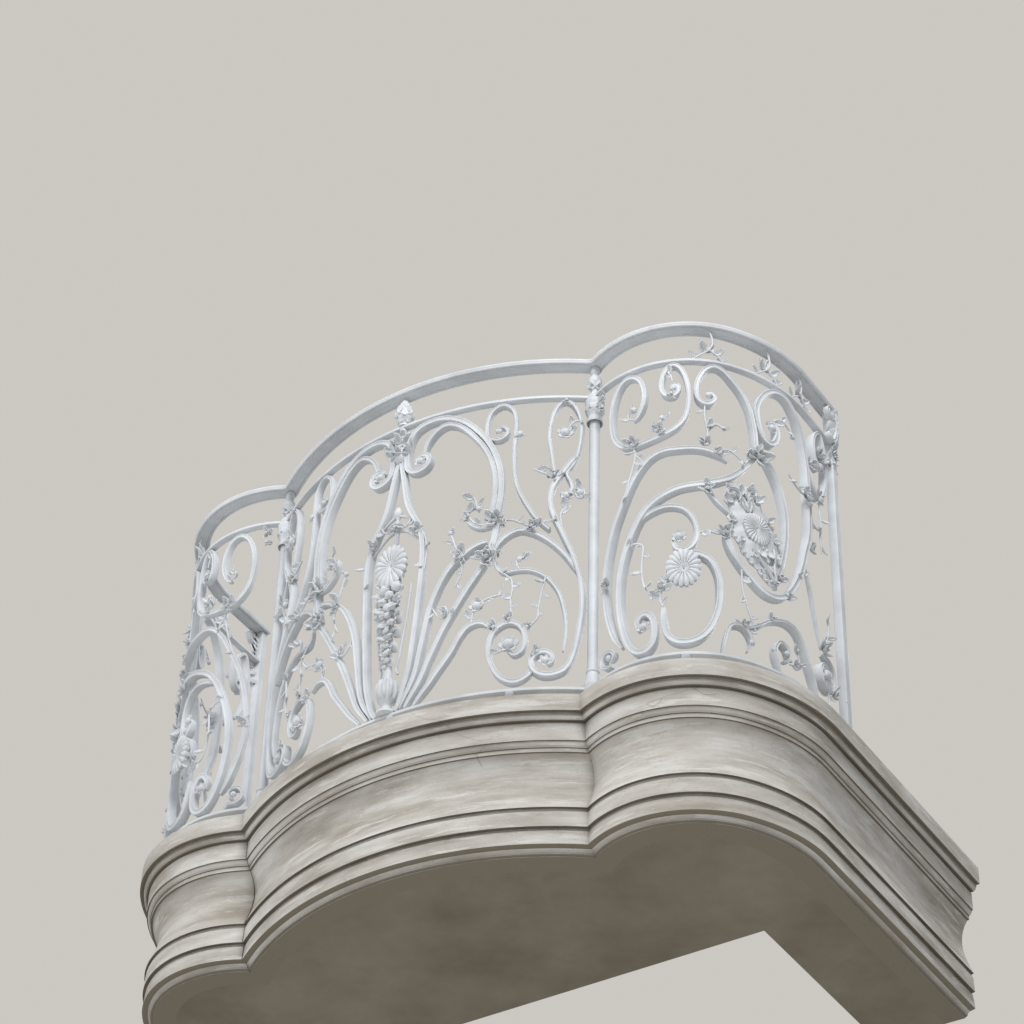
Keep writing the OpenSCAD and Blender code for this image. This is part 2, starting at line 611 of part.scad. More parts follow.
module lobe_sweeps(side) {
    sweep = [[107, 53], [90, 82], [74, 128], [63, 175], [57, 243], [62, 312], [73, 366], [87, 414],
        [110, 467], [143, 534], [177, 578], [212, 597], [257, 600], [303, 600], [343, 590], [372, 573]];
    oval = [[460, 635], [473, 627], [491, 605], [510, 576], [526, 541], [537, 500], [541, 456], [538, 408],
        [530, 362], [518, 314], [503, 272]];
    stay = [[632, 352], [664, 246], [690, 170]];
    color(iron) on_side(side) {
        bar(flow(on_lobe(sweep), 2), bar_w * 0.8, bar_d, 0.3);
        bar(flow(on_lobe(oval), 2), bar_w, bar_d, 0.6);
        bar(flow(on_lobe(stay), 2), twig_w, twig_d, 0.5);
    }
}

module lobe_foot_scrolls(side) {
    small = [[345, 5], [354, 53], [368, 86], [399, 88], [418, 57], [407, 24]];
    wave = [[438, 106], [461, 125], [487, 141], [524, 153], [562, 147], [589, 115], [610, 71], [631, 36]];
    low = [[498, 5], [484, 47], [498, 84], [524, 78], [530, 49], [511, 37]];
    corner = curl([70, 42], 28, 9, 270, -90);
    foot = curl([702, 100], 56, 12, 100, -430);
    color(iron) on_side(side) {
        for (p = [small, wave, low, corner, foot]) bar(flow(on_lobe(p), 2), twig_w, bar_d, 0.5);
    }
}

module lobe_daisy(side) {
    color(iron) on_side(side)
        on_rail(lobe_s(lobe_daisy_mid[0]), sheet_at(lobe_daisy_mid[1]), bar_d / 2) daisy(daisy_r * 0.85, 16);
}

// The pointed oval plate with its flower, leaning with the scroll around it.
module lobe_cartouche(side) {
    width = 120;
    height = 290;
    r = (height * height / 4 + width * width / 4) / width;
    color(iron) on_side(side)
        on_rail(lobe_s(plate_mid[0]), sheet_at(plate_mid[1]), 0) rotate([0, -19, 0]) {
            rotate([90, 0, 0]) intersection() {
                translate([r - width / 2, 0, -4]) cylinder(h = 8, r = r);
                translate([width / 2 - r, 0, -4]) cylinder(h = 8, r = r);
            }
            translate([0, -8, 8]) daisy(daisy_r * 0.8, 14);
        }
}

deck_core();
bow_cornice();
lobe_cornice(-1);  // left_lobe_cornice
lobe_cornice(1);  // right_lobe_cornice
return_cornice(-1);  // left_return_cornice
return_cornice(1);  // right_return_cornice
handrail_bow();
handrail_side(-1);  // left_handrail
handrail_side(1);  // right_handrail
upper_rail_bow();
upper_rail_side(-1);  // left_upper_rail
upper_rail_side(1);  // right_upper_rail
bottom_rail_bow();
bottom_rail_side(-1);  // left_bottom_rail
bottom_rail_side(1);  // right_bottom_rail
post(-1);  // left_post
post(1);  // right_post
end_post(-1);  // left_end_post
end_post(1);  // right_end_post
ball_feet();
bow_scrolls(-1);  // left_bow_scrolls
bow_scrolls(1);  // right_bow_scrolls
bow_arches(-1);  // left_bow_arches
bow_arches(1);  // right_bow_arches
bow_post_scrolls(-1);  // left_post_scrolls
bow_post_scrolls(1);  // right_post_scrolls
bow_lyre();
bow_finial();
bow_daisy();
bow_drop();
lobe_top_scrolls(-1);  // left_top_scrolls
lobe_top_scrolls(1);  // right_top_scrolls
lobe_ring_scroll(-1);  // left_ring_scroll
lobe_ring_scroll(1);  // right_ring_scroll
lobe_great_scroll(-1);  // left_great_scroll
lobe_great_scroll(1);  // right_great_scroll
lobe_sweeps(-1);  // left_sweeps
lobe_sweeps(1);  // right_sweeps
lobe_foot_scrolls(-1);  // left_foot_scrolls
lobe_foot_scrolls(1);  // right_foot_scrolls
lobe_daisy(-1);  // left_lobe_daisy
lobe_daisy(1);  // right_lobe_daisy
lobe_cartouche(-1);  // left_cartouche
lobe_cartouche(1);  // right_cartouche
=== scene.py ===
import json
import math

import bmesh
import bpy
from mathutils import Matrix, Vector

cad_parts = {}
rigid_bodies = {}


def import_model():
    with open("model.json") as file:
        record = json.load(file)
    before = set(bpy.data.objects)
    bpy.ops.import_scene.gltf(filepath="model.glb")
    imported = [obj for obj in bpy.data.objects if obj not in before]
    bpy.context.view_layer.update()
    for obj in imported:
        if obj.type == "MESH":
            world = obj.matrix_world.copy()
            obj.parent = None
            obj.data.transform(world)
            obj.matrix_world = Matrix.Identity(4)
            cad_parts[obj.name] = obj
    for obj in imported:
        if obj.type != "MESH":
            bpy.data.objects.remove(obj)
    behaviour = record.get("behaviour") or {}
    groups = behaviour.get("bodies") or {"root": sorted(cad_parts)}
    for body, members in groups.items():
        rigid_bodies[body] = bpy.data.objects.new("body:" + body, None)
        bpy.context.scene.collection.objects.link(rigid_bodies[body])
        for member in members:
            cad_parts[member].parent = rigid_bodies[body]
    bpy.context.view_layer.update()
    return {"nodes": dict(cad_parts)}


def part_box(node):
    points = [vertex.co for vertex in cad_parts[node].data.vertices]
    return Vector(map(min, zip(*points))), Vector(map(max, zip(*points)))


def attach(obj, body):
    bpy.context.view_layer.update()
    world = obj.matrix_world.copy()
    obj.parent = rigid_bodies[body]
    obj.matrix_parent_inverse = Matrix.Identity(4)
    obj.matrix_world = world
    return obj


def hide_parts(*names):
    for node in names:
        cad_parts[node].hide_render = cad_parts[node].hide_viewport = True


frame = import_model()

bl_info = {
    "name": "Scroll Balcony",
    "version": (1, 0, 0),
    "blender": (4, 5, 0),
    "location": "View3D > Sidebar > Balcony",
    "description": "Ironwork, rosettes and stone finish of a three-lobed balcony",
    "category": "Add Mesh",
}

# Plan of the slab and its rails, in metres and degrees, as the solids have it.
BOW_OUT = 0.660
CUSP_X = 0.468
CUSP_OUT = 0.517
LOBE_R = 0.310
FLANK_R = 0.440
LOBE_LEAD = 24.5
LOBE_TURN = 79.0
CORE_SET = 0.120
RAIL_INSET = 0.052
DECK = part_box("deck_core")[1].z

# Heights of the railing over the deck.
RAIL_H = 1.064
HAND_T = 0.018
FRIEZE_H = 0.098
FOOT_GAP = 0.044
RAIL_T = 0.009
HAND_Z = DECK + RAIL_H - HAND_T
UPPER_Z = HAND_Z - FRIEZE_H - RAIL_T
BOTTOM_Z = DECK + FOOT_GAP
SHEET_Z = BOTTOM_Z + RAIL_T
SHEET_H = UPPER_Z - SHEET_Z

# Mirrored pieces stand on both sides of the middle: -1 is left and 1 is right.
HANDS = ((-1, "left"), (1, "right"))

# End bars, ball feet, and the width of a post's collar as a share of its shaft.
END_BAR = 0.022
BALL_R = 0.015
COLLAR_SHARE = 1.65

# The scrollwork is drawn on flat sheets of these sizes, which are stretched to the panels, and each line is
# rounded in so many steps from point to point.
DRAW_H = 880.0
DRAW_BOW = 500.0
DRAW_LOBE = 840.0
END_SQUEEZE = 0.071
CURVE_STEPS = 5

# The pressed flower plates: size, place on the lobe's sheet and lean in degrees.
PLATE_LENGTH = 0.300
PLATE_WIDTH = 0.136
PLATE_SPOT = (442, 374)
PLATE_LEAN = 19.0

# How far leaves, knots and stems stand back from the straps' faces, how big they are, and the radius over
# which a bud has a flower round it.
LEAF_SINK = 0.006
KNOT_SINK = 0.002
STEM_SINK = 0.005
BUD_DEPTH = 0.6
LEAF_SIZE = 0.027
KNOT_GROW = 1.2
FLOWERING = 0.0095

# Points closer than this are one point. Edges sharper than these angles, in degrees, stay sharp.
MERGE = 0.00002
SHARP_BAR = 30
SHARP_TURNED = 38
SHARP_DAISY = 42
SHARP_PLATE = 45
SHARP_CAST = 50

# The floor, and the camera that stands where the picture was taken from.
FLOOR_Z = -4.6
FLOOR_SIZE = 24.0
CAMERA_SPOT = (3.3009, -5.0995, -3.848)
CAMERA_AZIMUTH = 33.48
CAMERA_ELEVATION = 40.34
CAMERA_ROLL = 1.79
CAMERA_LENS = 105.47
CAMERA_REACH = 60.0

# Soft lamps: name, place, point they face, size in metres and power in watts.
LAMPS = (
    ("key", (2.6, -3.6, 4.6), (0, -0.3, 0.5), 3.0, 275),
    ("fill", (-4.2, -3.4, 2.0), (0, -0.3, 0.4), 3.0, 90),
    ("bounce", (0.8, -2.8, -3.0), (0, -0.2, 0.2), 3.5, 45),
    ("back", (0.5, 4.2, 3.0), (0, 0, 0.6), 2.6, 70),
)
SKY_LIGHT = (0.93, 0.96, 1.0, 1)
SKY_STRENGTH = 0.44
BACKDROP = (0.60, 0.575, 0.54, 1)
FLOOR_COLOUR = (0.72, 0.70, 0.67, 1)


def deselect_all():
    for obj in bpy.context.view_layer.objects:
        obj.select_set(False)


def pick(obj):
    """Makes one object the only one that operators act on."""
    deselect_all()
    obj.select_set(True)
    bpy.context.view_layer.objects.active = obj


def primitive(add, **settings):
    """Adds a primitive while nothing else is selected, and returns it."""
    deselect_all()
    add(**settings)
    return bpy.context.view_layer.objects.active


# The line of the rails

def ray(angle):
    return Vector((math.cos(angle), math.sin(angle)))


class RailPlan:
    """The line of the rails in plan, measured in metres along it from the middle of the bow."""

    MITRE_REACH = 0.05

    def __init__(self):
        sag = BOW_OUT - CUSP_OUT
        self.bow_r = (CUSP_X ** 2 + sag ** 2) / (2 * sag)
        self.bow_c = Vector((0.0, self.bow_r - BOW_OUT))
        lead = math.radians(LOBE_LEAD)
        self.lobe_c = Vector((CUSP_X + LOBE_R * math.sin(lead), -CUSP_OUT + LOBE_R * math.cos(lead)))
        self.turn_a = math.radians(LOBE_TURN - LOBE_LEAD - 90)
        self.flank_c = self.lobe_c + (LOBE_R - FLANK_R) * ray(self.turn_a)
        self.side_x = self.flank_c.x + FLANK_R
        self.tip = self.cusp(0.0)
        self.mitre = (self.tip - self.cusp(CORE_SET)).normalized()
        rail_cusp = self.cusp(RAIL_INSET)
        self.rail_bow_r = self.bow_r - RAIL_INSET
        self.rail_lobe_r = LOBE_R - RAIL_INSET
        self.rail_flank_r = FLANK_R - RAIL_INSET
        self.bow_end = self.bearing(self.bow_c, rail_cusp) + math.pi / 2
        self.lobe_start = self.bearing(self.lobe_c, rail_cusp)
        self.bow_half = self.bow_end * self.rail_bow_r
        self.lobe_len = (self.turn_a - self.lobe_start) * self.rail_lobe_r
        self.flank_len = -self.turn_a * self.rail_flank_r
        self.panel_len = self.lobe_len + self.flank_len - self.flank_c.y

    @staticmethod
    def bearing(a, b):
        return math.atan2(b.y - a.y, b.x - a.x)

    def cusp(self, inset):
        """Where the bow and the lobe cross when both are set back."""
        ra, rb = self.bow_r - inset, LOBE_R - inset
        v = self.lobe_c - self.bow_c
        along = (ra * ra - rb * rb + v.length_squared) / (2 * v.length)
        aside = math.sqrt(ra * ra - along * along)
        e = v.normalized()
        return self.bow_c + along * e + aside * Vector((e.y, -e.x))

    def mitre_hit(self, centre, r):
        """Where a circle meets the upright plane that mitres the pieces at the cusp."""
        v = self.tip - centre
        b = self.mitre.dot(v)
        return self.tip + (math.sqrt(b * b - v.length_squared + r * r) - b) * self.mitre

    def at(self, s, out):
        """The plan point at s along the rails, and so far out from them."""
        if s < 0:
            p = self.at(-s, out)
            return Vector((-p.x, p.y))
        if s <= self.bow_half:
            r = self.rail_bow_r + out
            a = s / self.rail_bow_r
            t = 1 - (self.bow_half - s) / self.MITRE_REACH
            if t > 0:
                end = self.bearing(self.bow_c, self.mitre_hit(self.bow_c, r)) + math.pi / 2
                a += t * (end - self.bow_end)
            return self.bow_c + r * ray(a - math.pi / 2)
        s -= self.bow_half
        if s <= self.lobe_len:
            r = self.rail_lobe_r + out
            a = self.lobe_start + s / self.rail_lobe_r
            t = 1 - s / self.MITRE_REACH
            if t > 0:
                start = self.bearing(self.lobe_c, self.mitre_hit(self.lobe_c, r))
                a += t * (start - self.lobe_start)
            return self.lobe_c + r * ray(a)
        s -= self.lobe_len
        if s <= self.flank_len:
            return self.flank_c + (self.rail_flank_r + out) * ray(self.turn_a + s / self.rail_flank_r)
        return Vector((self.side_x - RAIL_INSET + out, self.flank_c.y + s - self.flank_len))


PLAN = RailPlan()
BOW_FIT = PLAN.bow_half / DRAW_BOW


def height(z):
    return SHEET_Z + z * SHEET_H / DRAW_H


def lobe_x(x):
    t = x / DRAW_LOBE
    return PLAN.bow_half + PLAN.panel_len * t * (1 + END_SQUEEZE * (1 - t * t))


def on_bow(points):
    return [Vector((x * BOW_FIT, height(z))) for x, z in points]


def on_lobe(points):
    return [Vector((lobe_x(x), height(z))) for x, z in points]


def flow(points, steps):
    """A smooth curve through the points, with so many steps between neighbours."""
    last = len(points) - 1
    out = []
    for i in range(last):
        a, b = points[max(i - 1, 0)], points[i]
        c, d = points[i + 1], points[min(i + 2, last)]
        for k in range(steps):
            t = k / steps
            out.append(0.5 * ((2 * b) + (c - a) * t + (2 * a - 5 * b + 4 * c - d) * t * t
                              + (3 * b - a - 3 * c + d) * t ** 3))
    out.append(points[last])
    return out


def curl(centre, r0, r1, a0, a1):
    """Points of a curl whose radius shrinks from r0 to r1 between two angles in degrees."""
    n = math.ceil(abs(a1 - a0) / 30)
    out = []
    for i in range(n + 1):
        t = i / n
        a = math.radians(a0 + (a1 - a0) * t)
        r = r0 + (r1 - r0) * t
        out.append((centre[0] + r * math.cos(a), centre[1] + r * math.sin(a)))
    return out


# Making, laying and finishing pieces

def new_object(name, data):
    obj = bpy.data.objects.new(name, data)
    bpy.context.scene.collection.objects.link(obj)
    return obj


def from_bmesh(name, bm):
    """A new object with the shape that was built in bm."""
    mesh = bpy.data.meshes.new(name)
    bm.to_mesh(mesh)
    bm.free()
    return new_object(name, mesh)


def apply_modifier(obj, kind, **settings):
    mod = obj.modifiers.new(kind.lower(), kind)
    for key, value in settings.items():
        setattr(mod, key, value)
    pick(obj)
    bpy.ops.object.modifier_apply(modifier=mod.name)
    return obj


def face_outwards(obj):
    pick(obj)
    bpy.ops.object.mode_set(mode="EDIT")
    bpy.ops.mesh.select_all(action="SELECT")
    bpy.ops.mesh.remove_doubles(threshold=MERGE)
    bpy.ops.mesh.normals_make_consistent(inside=False)
    bpy.ops.object.mode_set(mode="OBJECT")
    return obj


def wrap(obj, side=1):
    """Lays a piece that was made flat (x along, y up, z outwards) round the rails' plan."""
    for v in obj.data.vertices:
        p = PLAN.at(v.co.x, v.co.z)
        v.co = Vector((side * p.x, p.y, v.co.y))
    return face_outwards(obj)


def join(shapes):
    """Joins finished shapes into one object."""
    deselect_all()
    for obj in shapes:
        obj.select_set(True)
    bpy.context.view_layer.objects.active = shapes[0]
    if len(shapes) > 1:
        bpy.ops.object.join()
    return bpy.context.view_layer.objects.active


def iron_piece(name, shapes, angle, replaced=()):
    """Joins shapes into one piece of painted iron, smooth up to an angle, that stands for some solids."""
    obj = join(shapes)
    obj.name = name
    obj.data.name = name
    pick(obj)
    bpy.ops.object.shade_smooth_by_angle(angle=math.radians(angle))
    obj.data.materials.clear()
    obj.data.materials.append(paint())
    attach(obj, "root")
    if replaced:
        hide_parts(*replaced)


def section_curve(points):
    """A closed outline that a bar is drawn along, x across its face and y front to back."""
    data = bpy.data.curves.new("section", "CURVE")
    data.dimensions = "2D"
    spline = data.splines.new("POLY")
    spline.points.add(len(points) - 1)
    for p, (x, y) in zip(spline.points, points):
        p.co = (x, y, 0, 1)
    spline.use_cyclic_u = True
    return new_object("section", data)


def strap_section(width, depth, edge=0.0016, dish=0.0016):
    """A flat bar with softened edges and a hollow between two beads along its face."""
    w, d, soft = width / 2, depth / 2, edge * 0.3
    right = [(w - edge, -d), (w - soft, -d + soft), (w, -d + edge), (w, d - edge), (w - soft, d - soft),
             (w - edge, d), (w * 0.58, d - dish * 0.2), (w * 0.38, d - dish)]
    left = [(-x, y) for x, y in reversed(right)]
    return right + [(0, d - dish * 1.2)] + left


def round_section(radius, sides=8):
    return [(radius * math.cos(math.tau * i / sides), radius * math.sin(math.tau * i / sides))
            for i in range(sides)]


def straps(paths, section, taper=0.05):
    """Bars drawn on the flat sheet. Each path is (points, thickness at start, at end, lift)."""
    outline = section_curve(section)
    data = bpy.data.curves.new("straps", "CURVE")
    data.dimensions = "3D"
    data.twist_mode = "Z_UP"
    data.bevel_mode = "OBJECT"
    data.bevel_object = outline
    data.use_fill_caps = True
    for points, start, end, lift in paths:
        line = flow(points, CURVE_STEPS)
        length = [0.0]
        for a, b in zip(line, line[1:]):
            length.append(length[-1] + (b - a).length)
        spline = data.splines.new("POLY")
        spline.points.add(len(line) - 1)
        for p, q, d in zip(spline.points, line, length):
            p.co = (q.x, q.y, lift, 1)
            t0 = min(1.0, d / taper)
            t1 = min(1.0, (length[-1] - d) / taper)
            p.radius = min(start + (1 - start) * math.sin(t0 * math.pi / 2),
                           end + (1 - end) * math.sin(t1 * math.pi / 2))
    pick(new_object("straps", data))
    bpy.ops.object.convert(target="MESH")
    bpy.data.objects.remove(outline)
    return bpy.context.view_layer.objects.active


# Small ornaments, each modelled once and copied

def leaf(lobes=3, slim=0.62, roll=1.2, cup=0.35):
    """A cast leaf one unit long with a scalloped edge and a middle groove, rolling up to its tip."""
    obj = primitive(bpy.ops.mesh.primitive_grid_add, x_subdivisions=6, y_subdivisions=11, size=1)
    for v in obj.data.vertices:
        across, along = v.co.x * 2, v.co.y + 0.5
        half = slim / 2 * math.sin(math.pi * min(0.985, 0.03 + 0.97 * along) ** 0.85) ** 0.6
        half *= min(1, 0.2 + 3.2 * along)
        if lobes:
            half *= 1 - 0.36 * abs(across) * (1 - abs(math.sin(math.pi * lobes * along)))
        groove = 0.05 * math.exp(-(across / 0.25) ** 2) * math.sin(math.pi * along)
        lift = cup * half * across * across - groove
        a = roll * along
        v.co = Vector((across * half, math.sin(a) / roll - lift * math.sin(a),
                       (1 - math.cos(a)) / roll + lift * math.cos(a)))
    return apply_modifier(obj, "SOLIDIFY", thickness=0.07, offset=0)


def bud(petals=5):
    """A round bud one unit in radius, with grooves that twist from its base to its tip."""
    obj = primitive(bpy.ops.mesh.primitive_uv_sphere_add, segments=20, ring_count=12, radius=1)
    for v in obj.data.vertices:
        a = math.atan2(v.co.y, v.co.x)
        ridge = abs(math.sin(petals / 2 * a + 1.6 * v.co.z))
        grow = 1 - 0.22 * (1 - ridge) * math.hypot(v.co.x, v.co.y)
        v.co = Vector((v.co.x * grow, v.co.y * grow, v.co.z * (0.85 if v.co.z < 0 else 0.75)))
    return obj


def floret(petals=6):
    """A small open flower one unit in radius that faces up its own z."""
    obj = primitive(bpy.ops.mesh.primitive_circle_add, vertices=petals * 4, radius=1, fill_type="TRIFAN")
    bpy.ops.object.mode_set(mode="EDIT")
    bpy.ops.mesh.select_all(action="SELECT")
    bpy.ops.mesh.subdivide(number_cuts=2)
    bpy.ops.object.mode_set(mode="OBJECT")
    for v in obj.data.vertices:
        r = math.hypot(v.co.x, v.co.y)
        gap = 1 - abs(math.cos(petals * math.atan2(v.co.y, v.co.x) / 2))
        grow = 1 - 0.3 * gap * r
        eye = 0.3 * math.exp(-(r / 0.18) ** 2)
        v.co = Vector((v.co.x * grow, v.co.y * grow, 0.28 * r * r - 0.16 * r * gap + eye))
    return apply_modifier(obj, "SOLIDIFY", thickness=0.14, offset=-1)


MAKERS = {
    "leaf": leaf,
    "slim": lambda: leaf(lobes=0, slim=0.34, roll=0.7),
    "petal": lambda: leaf(lobes=0, slim=0.78, roll=-0.95, cup=-0.3),
    "bud": bud,
    "floret": floret,
}
CASTS = {}


def cast(key):
    """The mesh of a leaf, a petal, a bud or a floret, modelled the first time it is asked for."""
    if key not in CASTS:
        obj = MAKERS[key]()
        CASTS[key] = obj.data.copy()
        bpy.data.objects.remove(obj)
    return CASTS[key]


def place(key, x, y, z, size, turn=0.0, tip=0.0, roll=0.0, stretch=1.0):
    """One copy of an ornament on the sheet: turned in the sheet, then tipped outwards."""
    spin = Matrix.Rotation(math.radians(turn), 4, "Z")
    lean = Matrix.Rotation(math.radians(tip), 4, "X")
    twist = Matrix.Rotation(math.radians(roll), 4, "Y")
    scale = Matrix.Diagonal((size, size * stretch, size, 1))
    return cast(key), Matrix.Translation((x, y, z)) @ spin @ lean @ twist @ scale


def ring_of(key, count, centre, r, z, size, lean, shift=0.0):
    """Ornaments that stand in a ring round an upright line and lean out from it."""
    upright = Matrix.Rotation(math.radians(90 + lean), 4, "X") @ Matrix.Diagonal((size, size, size, 1))
    out = []
    for i in range(count):
        turn = Matrix.Rotation(math.tau * (i + shift) / count, 4, "Z")
        spot = Matrix.Translation((centre.x, centre.y, z)) @ turn @ Matrix.Translation((0, -r, 0))
        out.append((cast(key), spot @ upright))
    return out


def gather(name, copies):
    """Puts copies of ornaments together as one mesh object."""
    bm = bmesh.new()
    for mesh, matrix in copies:
        one = mesh.copy()
        one.transform(matrix)
        bm.from_mesh(one)
        bpy.data.meshes.remove(one)
    obj = from_bmesh(name, bm)
    for poly in obj.data.polygons:
        poly.use_smooth = True
    return obj


def knot(x, y, z, size, angles, seed=0):
    """A clasp of rounded leaves round a bud, where bars meet."""
    out = []
    for i, a in enumerate(angles):
        grow = size * (0.78 + 0.35 * math.sin(2.3 * i + seed) ** 2)
        out.append(place("slim" if (i + seed) % 3 == 0 else "leaf", x, y, z - 0.004, grow, turn=a - 90,
                         tip=2 + 12 * math.sin(i * 1.7 + seed), roll=26 * math.sin(i * 2.9 + seed)))
        out.append(place("leaf", x, y, z - 0.001, grow * 0.55, turn=a - 62, tip=30,
                         roll=20 * math.sin(i + seed)))
    out.append(place("bud", x, y, z + 0.002, size * 0.22))
    return out


def spray_leaves(points, size, z, seed=0):
    """Leaves that stand by turns on both sides of a stem."""
    out = []
    for i in range(1, len(points) - 1, 2):
        v = points[i + 1] - points[i - 1]
        along = math.degrees(math.atan2(v.y, v.x))
        hand = 1 if (i // 2 + seed) % 2 else -1
        grow = size * (0.8 + 0.4 * math.sin(1.9 * i + seed) ** 2)
        out.append(place("leaf" if (i + seed) % 3 else "slim", points[i].x, points[i].y, z, grow,
                         turn=along - 90 + hand * 48, tip=10 * math.sin(2.1 * i + seed),
                         roll=22 * math.sin(1.3 * i)))
    return out


# Materials

BLACK = (0.0, 0.0, 0.0)
WHITE = (1.0, 1.0, 1.0)


def node_maker(material):
    """Empties a material's node tree and returns the function that adds nodes to it."""
    material.use_nodes = True
    tree = material.node_tree
    tree.nodes.clear()

    def add(kind, inputs=None, **settings):
        node = tree.nodes.new(kind)
        for key, value in settings.items():
            setattr(node, key, value)
        for key, value in (inputs or {}).items():
            if isinstance(value, bpy.types.NodeSocket):
                tree.links.new(value, node.inputs[key])
            else:
                node.inputs[key].default_value = value
        return node
    return add


def noise_of(add, where, scale, detail, rough):
    return add("ShaderNodeTexNoise", {"Vector": where, "Scale": scale, "Detail": detail,
                                      "Roughness": rough}).outputs["Fac"]


def ramp(add, factor, stops):
    node = add("ShaderNodeValToRGB", {"Fac": factor})
    band = node.color_ramp
    while len(band.elements) < len(stops):
        band.elements.new(0.5)
    for element, (spot, colour) in zip(band.elements, stops):
        element.position = spot
        element.color = (*colour[:3], 1)
    return node.outputs["Color"]


def blend_colour(add, factor, a, b):
    """Mixes two colours by a factor that comes from another node."""
    node = add("ShaderNodeMix", data_type="RGBA")
    links = node.id_data.links
    for key, value in ((0, factor), (6, a), (7, b)):
        if isinstance(value, bpy.types.NodeSocket):
            links.new(value, node.inputs[key])
        else:
            node.inputs[key].default_value = (*value[:3], 1)
    return node.outputs[2]


def maths(add, kind, a, b, clamp=False):
    return add("ShaderNodeMath", {0: a, 1: b}, operation=kind, use_clamp=clamp).outputs[0]


def over(add, value, limit):
    return maths(add, "GREATER_THAN", value, limit)


def under(add, value, limit):
    return maths(add, "LESS_THAN", value, limit)


def share(add, value, part, clamp=False):
    return maths(add, "MULTIPLY", value, part, clamp)


def painted_iron(finish):
    """Old white paint on iron: uneven, grey in the shade of joints, with rust and dirt specks."""
    material = bpy.data.materials.new("painted_iron")
    add = node_maker(material)
    where = add("ShaderNodeTexCoord").outputs["Object"]

    def noise(scale, detail=4.0, rough=0.55):
        return noise_of(add, where, scale, detail, rough)

    cloudy = ramp(add, noise(9.0), [(0.38, finish.paint), (0.66, finish.paint_worn)])
    # Painted shade: the paint turns grey where ambient occlusion finds bars and leaves close together.
    joints = add("ShaderNodeAmbientOcclusion", {"Distance": 0.009}, samples=4).outputs["AO"]
    crevice = share(add, maths(add, "SUBTRACT", 0.80, joints), 1.3, clamp=True)
    shade = blend_colour(add, crevice, cloudy, finish.joint_shade)
    dirt = share(add, over(add, noise(95.0, 6.0, 0.7), 0.54), over(add, crevice, 0.43))
    rust = share(add, over(add, noise(170.0, 4.0, 0.65), 0.70), over(add, noise(14.0, 2.0), 0.50))
    colour = blend_colour(add, share(add, dirt, 0.62), shade, finish.grime)
    colour = blend_colour(add, share(add, rust, 0.7), colour, finish.rust)
    rough = add("ShaderNodeMath", {0: noise(60.0), 1: 0.2, 2: 0.38}, operation="MULTIPLY_ADD").outputs[0]
    lumps = add("ShaderNodeBump", {"Height": noise(70.0, 3.0), "Strength": 0.45, "Distance": 0.0014})
    grain = add("ShaderNodeBump", {"Height": noise(420.0, 3.0), "Strength": 0.3, "Distance": 0.0004,
                                   "Normal": lumps.outputs["Normal"]})
    shader = add("ShaderNodeBsdfPrincipled", {"Base Color": colour, "Roughness": rough,
                                              "Normal": grain.outputs["Normal"], "IOR": 1.46,
                                              "Specular IOR Level": 0.4})
    add("ShaderNodeOutputMaterial", {"Surface": shader.outputs[0]})
    return material


